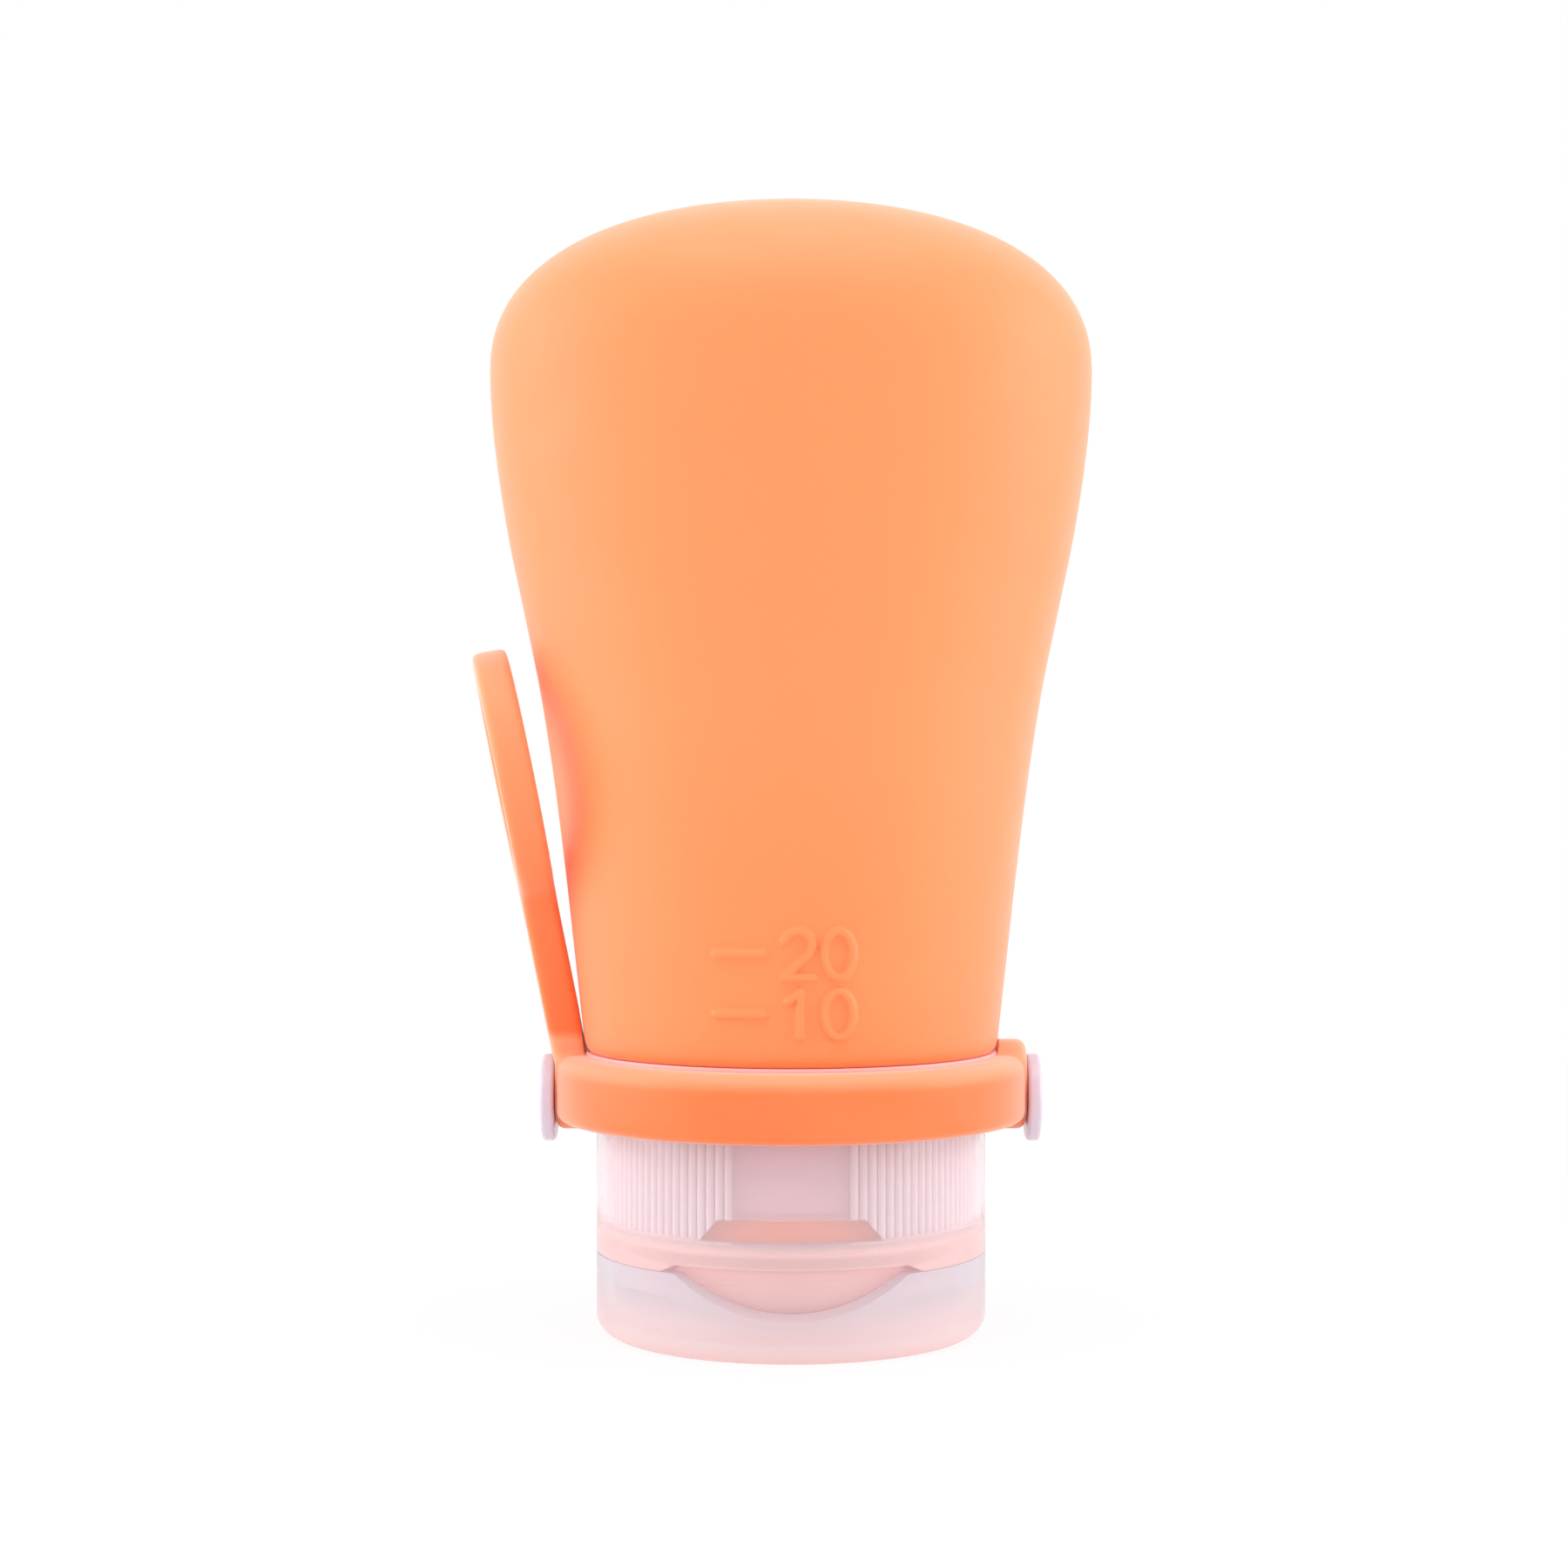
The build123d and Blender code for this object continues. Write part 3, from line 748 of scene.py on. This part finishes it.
def digit_strokes(digit):
    """The line of a plain digit, one high and digit_width wide, as one run of points."""
    half = digit_width / 2
    shapes = {
        "0": arc_points((half, 0.5), (half, 0.5), 0, 360, steps=28),
        "1": [(0.1, 0.78), (0.36, 1.0), (0.36, 0.0)],
        "2": arc_points((half, 0.7), (half, 0.3), 165, -38) + [(0.02, 0.0), (0.64, 0.0)],
    }
    return shapes[digit]


def mark_strokes():
    """All raised strokes as runs of (x, height) points in millimetres."""
    runs = []
    for text, base in level_lines.items():
        middle = base + digit_height / 2
        runs.append([(level_line_left, middle), (level_line_right, middle)])
        left = digits_left
        for digit in text:
            runs.append([(left + x * digit_height, base + y * digit_height) for x, y in digit_strokes(digit)])
            left += digit_width * digit_height + digit_gap
    return runs


def stroke_height(x, height):
    """How far the marks rise at these places, from 0 to 1."""
    nearest = np.full(x.shape, np.inf)
    for run in mark_strokes():
        for (ax, az), (bx, bz) in zip(run, run[1:]):
            across, up = bx - ax, bz - az
            share = np.clip(((x - ax) * across + (height - az) * up) / (across ** 2 + up ** 2), 0, 1)
            nearest = np.minimum(nearest, np.hypot(x - ax - share * across, height - az - share * up))
    rise = np.clip((stroke_half_width + stroke_edge - nearest) / (2 * stroke_edge), 0, 1)
    return rise * rise * (3 - 2 * rise)


def build_skin(mark_height):
    """The soft shell with its level marks moulded on."""
    angles = np.array(front_dense_angles(mark_half_angle, mark_columns, plain_columns))
    rows = np.array(skin_rows())
    x = rows[:, :1] * np.cos(angles)
    y = rows[:, 1:2] * np.sin(angles)
    z = np.repeat(rows[:, 2:], len(angles), axis=1)
    outside = np.arange(len(rows)) < dome_steps + plain_rows + mark_rows + low_rows
    front = outside[:, None] & (np.sin(angles) < 0) & (z > mark_low) & (z < mark_high)
    rise = np.where(front, stroke_height(x, z), 0) * mark_height
    points = np.stack((x + rise * np.cos(angles), y + rise * np.sin(angles), z), axis=-1).reshape(-1, 3)
    return piece("bottle_skin", points, net(*x.shape), finish_named("bottle silicone"), skin_soft_angle)


# Band and strap

def strap_matrix():
    """From the strap's own plane, y up the strap and z outwards, to the bottle."""
    out = Vector((-math.cos(strap_lean), 0, -math.sin(strap_lean)))
    across = Vector((0, -1, 0))
    up = out.cross(across)
    plane = Matrix((across, up, out)).transposed().to_4x4()
    return Matrix.Translation(strap_pivot * MM) @ Matrix.Rotation(strap_twist, 4, "Z") @ plane


def strap_outline():
    """The strap's outline, once round: a stem, two fillets and the ring's outer edge."""
    ring_middle = strap_length - loop_radius
    side = stem_half_width + stem_fillet
    drop = math.sqrt((loop_radius + stem_fillet) ** 2 - side ** 2)
    meet = math.degrees(math.atan2(-drop, side))
    right = arc_points(
        (side, ring_middle - drop), (stem_fillet, stem_fillet), 180, 180 + meet, fillet_steps)
    ring = arc_points((0, ring_middle), (loop_radius, loop_radius), meet, 180 - meet, ring_steps)
    left = [(-x, y) for x, y in reversed(right)]
    return [(stem_half_width, -strap_root_drop), *right, *ring[1:-1], *left,
            (-stem_half_width, -strap_root_drop)]


def strap_blank():
    """The strap as a flat plate with rounded edges and the hole of its ring."""
    curve = bpy.data.curves.new("strap_blank", "CURVE")
    curve.dimensions = "2D"
    curve.fill_mode = "BOTH"
    curve.extrude = (strap_thickness / 2 - strap_edge_round) * MM
    curve.bevel_depth = strap_edge_round * MM
    curve.bevel_resolution = 3
    curve.offset = -strap_edge_round * MM
    hole = arc_points((0, strap_length - loop_radius), (loop_hole_radius, loop_hole_radius),
                      0, 360 - 360 / ring_steps, ring_steps)
    for outline in (strap_outline(), hole):
        spline = curve.splines.new("POLY")
        spline.points.add(len(outline) - 1)
        for point, (x, y) in zip(spline.points, outline):
            point.co = (x * MM, y * MM, 0, 1)
        spline.use_cyclic_u = True
    blank = bpy.data.objects.new("strap_blank", curve)
    bpy.context.scene.collection.objects.link(blank)
    mesh = evaluated_mesh(blank, "strap_blank")
    return placed(finished("strap_blank", mesh, finish_named("strap silicone")), strap_matrix())


def boss_blank(side):
    """A rounded boss on the side that has this sign, its shape drawn across X."""
    half, rise = boss_width / 2, (boss_top - boss_bottom) / 2
    outline = rounded([(half, -rise, boss_round), (half, rise, boss_round), (-half, rise, boss_round),
                       (-half, -rise, boss_round)], boss_corner_steps)
    edge = boss_edge_round
    # how far out each ring of points lies, and how far its outline is drawn in
    stations = [(boss_start, 0), (band_radius - edge, 0), (band_radius - edge * boss_edge_share, edge / 2),
                (band_radius, edge)]
    rings = [[(side * out, y * (1 - inset / half), boss_middle + z * (1 - inset / rise)) for y, z in outline]
             for out, inset in stations]
    return stacked("boss_blank", rings, finish_named("strap silicone"))


def clear_of_skin(mesh):
    """Draws the points over the band out to where they just clear the bottle's side."""
    for point in mesh.vertices:
        x, y, z = point.co / MM
        if clear_from < z < clear_to:
            wide, deep = half_sizes(max(z, foot_height), -skin_gap)
            share = math.hypot(x / wide, y / deep)
            if share < 1:
                point.co.x = x / share * MM
                point.co.y = y / share * MM


def build_strap(voxel, softening):
    """Band, bosses and strap as one soft moulding."""
    silicone = finish_named("strap silicone")
    band = turned("band_blank", rounded([
        (band_inner_radius, band_bottom, band_inner_round), (band_radius, band_bottom, band_outer_round),
        (band_radius, band_top, band_top_round), (band_inner_radius, band_top, band_inner_round)]),
        silicone, ring=True)
    blank = joined("strap_and_band", [band, boss_blank(-1), boss_blank(1), strap_blank()], silicone)
    grid = blank.modifiers.new("Join", "REMESH")
    grid.mode = "VOXEL"
    grid.voxel_size = voxel
    soften = blank.modifiers.new("Soften", "SMOOTH")
    soften.factor = 0.5
    soften.iterations = softening
    mesh = evaluated_mesh(blank, "strap_and_band")
    clear_of_skin(mesh)
    return finished("strap_and_band", mesh, silicone, strap_soft_angle)


# Rigid pieces

def build_stud(name, side):
    """A headed stud, flat and round, from inside the collar to past the band."""
    head_end = stud_head_start + stud_head_thickness
    made = turned(name, rounded([
        (0, stud_start, 0), (stud_radius, stud_start, 0), (stud_radius, stud_head_start, 0),
        (stud_head_radius, stud_head_start, stud_head_round), (stud_head_radius, head_end, stud_head_round),
        (0, head_end, 0)]), finish_named("stud plastic"), columns=small_turn_columns)
    lift = Matrix.Translation((0, 0, stud_height * MM))
    return placed(made, lift @ Matrix.Rotation(side * math.pi / 2, 4, "Y"))


def build_collar():
    """The ring that clamps the foot; its flange shows over the band."""
    flange_bottom = band_top - collar_sink
    flange_radius = collar_high.x + collar_sink
    plate_bottom = collar_high.z - collar_plate
    hole = neck_radius + fit_gap
    profile = rounded([
        (collar_inner_radius, collar_low.z, fine_round), (collar_radius, collar_low.z, small_round),
        (collar_radius, flange_bottom, 0), (flange_radius, flange_bottom, flange_low_round),
        (flange_radius, collar_high.z, flange_top_round), (hole, collar_high.z, 0),
        (hole, plate_bottom, 0), (collar_inner_radius, plate_bottom, small_round)])
    return turned("collar", profile, finish_named("collar plastic"), ring=True)


def build_neck(sizes):
    """The neck with its two flanges and its thread."""
    plastic = finish_named("neck plastic")
    flange = neck_high.x
    profile = rounded([
        (neck_bore, neck_low.z, full_round), (neck_radius, neck_low.z, lip_round),
        (neck_radius, snap_flange_bottom, small_round), (flange, snap_flange_bottom, snap_round),
        (flange, snap_flange_top, snap_round), (neck_radius, snap_flange_top, small_round),
        (neck_radius, clamp_flange_bottom, 0), (clamp_flange_radius, clamp_flange_bottom, fine_round),
        (clamp_flange_radius, neck_high.z, medium_round), (neck_bore, neck_high.z, full_round)], steps=4)
    tube = turned("neck_tube", profile, plastic, ring=True)
    thread = run_tree(thread_tree(), "neck_thread", {
        "Turns": sizes.thread_turns, "Pitch": sizes.thread_pitch, "Radius": neck_radius * MM,
        "Size": sizes.thread_size, "Start height": thread_start * MM, "Taper share": thread_taper_share,
        "Material": plastic})
    return unshadowed(joined("neck", [tube, thread], plastic))


def notch_curve(x):
    """Height of the thumb notch's edge at this distance from the middle; infinite outside its arc."""
    radius = (notch_half_width ** 2 + notch_depth ** 2) / (2 * notch_depth)
    if abs(x) >= radius:
        return math.inf
    return lid_top - notch_depth + radius - math.sqrt(radius ** 2 - x ** 2)


def softer_low(a, b):
    """The lower of two heights, with the corner between them rounded."""
    low = min(a, b)
    shares = math.exp((low - a) / notch_softness) + math.exp((low - b) / notch_softness)
    return low - notch_softness * math.log(shares)


def front_x(radius, angle):
    """Distance from the middle of the front; infinite on the back half."""
    return radius * math.cos(angle) if math.sin(angle) < 0 else math.inf


def lid_profile(angle):
    """The lid's section at this angle, lower in the notch and with its rim sloping in there."""
    outer = softer_low(lid_top, notch_curve(front_x(cap_radius, angle)))
    inner = softer_low(lid_top, notch_curve(front_x(lid_inner_radius, angle)) + notch_rise)
    return rounded([
        (0, 0, 0), (cap_radius, 0, lid_round), (cap_radius, outer, lid_rim_round),
        (lid_inner_radius, inner, lid_rim_round), (lid_inner_radius, lid_floor, lid_inner_round),
        (0, lid_floor, 0)], steps=8)


def shell_profile(angle):
    """The shell's section at this angle; its rim is lifted over the thumb notch."""
    over = front_x(cap_radius, angle)
    lift = notch_lift * (1 - min(1, max(0, (abs(over) - notch_half_width) / notch_ramp)))
    rim = shell_bottom + lift
    rim_round = shell_rim_round + (shell_round - shell_rim_round) * lift / notch_lift
    behind_notch = min(crown_bottom, notch_curve(over * crown_cover_share) - crown_cover)
    return rounded([
        (outlet_radius, shell_bottom, small_round), (crown_inner_radius, shell_bottom, medium_round),
        (crown_inner_radius, behind_notch, medium_round), (crown_radius, behind_notch, shell_round),
        (crown_radius, rim, fine_round), (cap_radius, rim, rim_round),
        (cap_radius, shell_high.z, shell_round), (shell_inner_radius, shell_high.z, small_round),
        (shell_inner_radius, deck_top, deck_round), (outlet_radius, deck_top, small_round)], steps=5)


def hinge_land(name, bottom, top, material):
    """The flat land at the back of a round wall."""
    front = cap_radius - land_depth
    outline = rounded([(land_half_width, front, 0), (land_half_width, cap_radius, land_round),
                       (-land_half_width, cap_radius, land_round), (-land_half_width, front, 0)])
    return stacked(name, [[(x, y, z) for x, y in outline] for z in (bottom, top)], material)


def build_shell():
    """The cap's clear outer cup, deck and crown."""
    clear = finish_named("clear shell")
    angles = front_dense_angles(notch_half_angle, *shell_columns)
    cup = swept_round("shell_cup", shell_profile, angles, clear, ring=True)
    land = hinge_land("shell_land", shell_bottom, shell_bottom + land_height, clear)
    return unshadowed(joined("cap_outer", [cup, land], clear))


def build_lid():
    """The lid that the bottle stands on, with its spigot."""
    clear = finish_named("clear lid")
    cup = swept_round("lid_cup", lid_profile, front_dense_angles(notch_half_angle, *lid_columns), clear)
    top = lid_top + spigot_reach
    root = lid_floor / 2
    inner = spigot_radius - spigot_wall
    spigot = turned("lid_spigot", rounded([
        (0, top, 0), (spigot_radius, top, full_round), (spigot_radius, root, 0), (inner, root, 0),
        (inner, lid_top, medium_round), (0, lid_top, 0)]), clear, columns=small_turn_columns)
    land = hinge_land("lid_land", lid_top - land_height, lid_top, clear)
    return unshadowed(joined("lid", [cup, spigot, land], clear))


def windowed(made):
    """The same piece with the window cut through its front."""
    corners = [(-window_half_bottom, window_bottom), (window_half_bottom, window_bottom),
               (window_half_top, window_top), (-window_half_top, window_top)]
    name, material = made.name, made.data.materials[0]
    cutter = stacked("window_cutter", [[(x, -y, z) for x, z in corners] for y in (0, cap_radius)], material)
    cut = made.modifiers.new("Window", "BOOLEAN")
    cut.operation = "DIFFERENCE"
    cut.solver = "EXACT"
    cut.object = cutter
    mesh = evaluated_mesh(made, name)
    bpy.data.objects.remove(cutter)
    return finished(name, mesh, material)


def build_liner(sizes):
    """The liner's cup, and the ribs that stand on it, both open at the window."""
    cup = turned("liner", rounded([
        (liner_floor_radius, liner_low.z, fine_round), (liner_root_radius, liner_low.z, full_round),
        (liner_root_radius, liner_high.z, medium_round), (liner_inner_radius, liner_high.z, medium_round),
        (liner_inner_radius, liner_floor_top, full_round), (liner_floor_radius, liner_floor_top, fine_round),
        ], steps=4), finish_named("ribbed liner"), ring=True, columns=liner_columns)
    ribs = run_tree(ribs_tree(), "liner_ribs", {
        "Count": sizes.rib_count, "First angle": -math.pi / 2 + smooth_front / 2,
        "Step angle": (math.tau - smooth_front) / (sizes.rib_count - 1), "Radius": liner_root_radius * MM,
        "Depth": rib_depth * MM, "Width": sizes.rib_width, "Bottom": liner_floor_top * MM,
        "Top": liner_high.z * MM, "Material": finish_named("rib plastic")})
    return unshadowed(windowed(cup)), windowed(ribs)


def build_seal():
    """The soft ring under the neck's lip."""
    profile = rounded([
        (seal_inner_radius, seal_low.z, full_round), (seal_high.x, seal_low.z, full_round),
        (seal_high.x, seal_high.z, full_round), (seal_inner_radius, seal_high.z, full_round)])
    return unshadowed(turned("seal_ring", profile, finish_named("seal silicone"), ring=True))


def build_film():
    """The thin web that joins the lid to the cap, a little proud at the seam."""
    rings = []
    for share in np.linspace(-1, 1, film_steps + 1):
        height = hinge_height + share * film_reach
        out = cap_radius + film_bulge * math.exp(-(share * film_bulge_fall) ** 2)
        front, back = out - film_sink, out + film_thickness
        rings.append([(-film_half_width, front, height), (-film_half_width, back, height),
                      (film_half_width, back, height), (film_half_width, front, height)])
    return unshadowed(stacked("film", rings, finish_named("clear lid")))


# Operators

class BOTTLE_OT_skin(bpy.types.Operator):
    """Build the soft shell with its raised level marks"""

    bl_idname = "bottle.skin"
    bl_label = "Soft shell"

    def execute(self, context):
        skin = build_skin(context.scene.bottle_sizes.mark_height / MM)
        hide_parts("squeeze_body")
        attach(skin, "bottle")
        return {"FINISHED"}


class BOTTLE_OT_strap(bpy.types.Operator):
    """Build the band and the strap as one moulding"""

    bl_idname = "bottle.strap"
    bl_label = "Band and strap"

    def execute(self, context):
        sizes = context.scene.bottle_sizes
        strap = build_strap(sizes.strap_voxel, sizes.strap_softening)
        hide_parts("strap_band", "strap_loop")
        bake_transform(strap)
        return {"FINISHED"}


class BOTTLE_OT_studs(bpy.types.Operator):
    """Build the two studs that hold the band"""

    bl_idname = "bottle.studs"
    bl_label = "Studs"

    def execute(self, context):
        for name, side in (("left", -1), ("right", 1)):
            stud = build_stud(name + "_stud", side)
            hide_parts(name + "_strap_stud")
            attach(stud, "bottle")
        return {"FINISHED"}


class BOTTLE_OT_neck(bpy.types.Operator):
    """Build the collar and the threaded neck"""

    bl_idname = "bottle.neck"
    bl_label = "Collar and neck"

    def execute(self, context):
        collar = build_collar()
        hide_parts("neck_collar")
        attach(collar, "bottle")
        neck = build_neck(context.scene.bottle_sizes)
        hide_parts("threaded_neck")
        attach(neck, "bottle")
        return {"FINISHED"}


class BOTTLE_OT_cap(bpy.types.Operator):
    """Build the cap's clear shell and ribbed liner, and give the valve and the ring that holds it their
    finishes
    """

    bl_idname = "bottle.cap"
    bl_label = "Cap"

    def execute(self, context):
        shell = build_shell()
        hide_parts("cap_shell")
        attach(shell, "cap")
        for made in build_liner(context.scene.bottle_sizes):
            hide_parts("cap_liner")
            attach(made, "cap")
        for node, finish in (("dispensing_valve", "seal silicone"), ("valve_retainer", "ribbed liner")):
            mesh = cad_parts[node].data
            mesh.materials.clear()
            mesh.materials.append(finish_named(finish))
        return {"FINISHED"}


class BOTTLE_OT_seal(bpy.types.Operator):
    """Build the soft ring under the neck's lip"""

    bl_idname = "bottle.seal"
    bl_label = "Seal"

    def execute(self, context):
        seal = build_seal()
        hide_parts("neck_seal")
        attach(seal, "seal")
        return {"FINISHED"}


class BOTTLE_OT_lid(bpy.types.Operator):
    """Build the flip lid and the film that it hinges on"""

    bl_idname = "bottle.lid"
    bl_label = "Lid and film hinge"

    def execute(self, context):
        lid = build_lid()
        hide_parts("flip_lid")
        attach(lid, "lid")
        film = build_film()
        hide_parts("film_hinge")
        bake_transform(film)
        return {"FINISHED"}


# Stage

def lamp(name, place, size, power):
    """A large rectangular lamp that looks at the bottle."""
    data = bpy.data.lights.new(name, "AREA")
    data.shape = "RECTANGLE"
    data.size, data.size_y = size
    data.energy = power
    made = bpy.data.objects.new(name, data)
    made.location = place
    made.rotation_euler = (Vector(lamp_aim) - Vector(place)).to_track_quat("-Z", "Y").to_euler()
    bpy.context.scene.collection.objects.link(made)


def seen_white(tree):
    """A socket that is 1 for rays that come from the camera, a reflection or through clear plastic."""
    path = add(tree, "ShaderNodeLightPath").outputs
    first = number(tree, "MAXIMUM", path["Is Camera Ray"], path["Is Glossy Ray"])
    return number(tree, "MAXIMUM", first, path["Is Transmission Ray"])


def build_world(ambient):
    """Even light all round, on a background that is seen white."""
    world = bpy.data.worlds.new("plain studio")
    world.use_nodes = True
    tree = world.node_tree
    strength = number(tree, "MAXIMUM", seen_white(tree), ambient)
    fill(tree, tree.nodes["Background"], {"Color": (1, 1, 1, 1), "Strength": strength})
    bpy.context.scene.world = world


def build_floor():
    """A pale floor that keeps the object's shadow and is otherwise seen white."""
    made, tree, shader = new_material("pale floor")
    fill(tree, shader, {"Base Color": (0.9, 0.9, 0.9, 1), "Roughness": 0.9})
    glow = add(tree, "ShaderNodeEmission", {"Strength": 1.0})
    far = add(tree, "ShaderNodeVectorMath", {0: on_object(tree)}, operation="LENGTH").outputs["Value"]
    share = spread(tree, far, floor_shade, 1.0, floor_shade_near * MM, floor_shade_far * MM)
    mix = add(tree, "ShaderNodeMixShader", {
        "Fac": number(tree, "MULTIPLY", seen_white(tree), share),
        1: shader.outputs["BSDF"], 2: glow.outputs["Emission"]})
    fill(tree, tree.nodes["Material Output"], {"Surface": mix.outputs["Shader"]})
    half = floor_half_width
    floor = piece("floor", [(-half, -half, 0), (half, -half, 0), (half, half, 0), (-half, half, 0)],
                  [(0, 1, 2, 3)], made)


class BOTTLE_OT_stage(bpy.types.Operator):
    """Set the pale floor, the soft light and the camera"""

    bl_idname = "bottle.stage"
    bl_label = "Stage"

    def execute(self, context):
        settings = context.scene.bottle_stage
        build_floor()
        build_world(settings.ambient)
        for name, side in (("left light", -1), ("right light", 1)):
            place = (side * side_lamp_out, side_lamp_front, side_lamp_height)
            lamp(name, place, side_lamp_size, settings.side_light)
        lamp("top light", top_lamp_place, top_lamp_size, settings.top_light)
        data = bpy.data.cameras.new("camera")
        data.lens = settings.lens
        data.sensor_width = camera_sensor
        camera = bpy.data.objects.new("camera", data)
        camera.location = (-camera_left * MM, -settings.camera_distance, camera_height * MM)
        camera.rotation_euler = (math.pi / 2, 0, 0)
        context.scene.collection.objects.link(camera)
        context.scene.camera = camera
        context.scene.view_settings.view_transform = "Standard"
        light_paths = context.scene.cycles
        light_paths.max_bounces = 24
        light_paths.diffuse_bounces = 10
        light_paths.transmission_bounces = 20
        light_paths.transparent_max_bounces = 32
        return {"FINISHED"}


class BOTTLE_PT_panel(bpy.types.Panel):
    """Lists the pieces and their sizes"""

    bl_idname = "BOTTLE_PT_panel"
    bl_label = "Travel bottle"
    bl_space_type = "VIEW_3D"
    bl_region_type = "UI"
    bl_category = "Bottle"

    def draw(self, context):
        layout = self.layout
        for operator in OPERATORS:
            layout.operator(operator.bl_idname)
        for group in (context.scene.bottle_sizes, context.scene.bottle_colours, context.scene.bottle_stage):
            box = layout.box()
            for name in group.bl_rna.properties.keys():
                if name not in {"rna_type", "name"}:
                    box.prop(group, name)


OPERATORS = (BOTTLE_OT_skin, BOTTLE_OT_strap, BOTTLE_OT_studs, BOTTLE_OT_neck, BOTTLE_OT_cap,
             BOTTLE_OT_seal, BOTTLE_OT_lid, BOTTLE_OT_stage)
SETTINGS = {"bottle_sizes": BottleSizes, "bottle_colours": BottleColours, "bottle_stage": StageSettings}


def register():
    """Adds the settings, the operators and the panel."""
    for made in (*SETTINGS.values(), *OPERATORS, BOTTLE_PT_panel):
        bpy.utils.register_class(made)
    for name, group in SETTINGS.items():
        setattr(bpy.types.Scene, name, PointerProperty(type=group))


def unregister():
    """Takes them away again."""
    for name in SETTINGS:
        delattr(bpy.types.Scene, name)
    for made in reversed((*SETTINGS.values(), *OPERATORS, BOTTLE_PT_panel)):
        bpy.utils.unregister_class(made)


def main():
    """Builds every piece and the stage."""
    register()
    bpy.ops.bottle.skin()
    bpy.ops.bottle.strap()
    bpy.ops.bottle.studs()
    bpy.ops.bottle.neck()
    bpy.ops.bottle.cap()
    bpy.ops.bottle.seal()
    bpy.ops.bottle.lid()
    bpy.ops.bottle.stage()


if __name__ == "__main__":
    main()
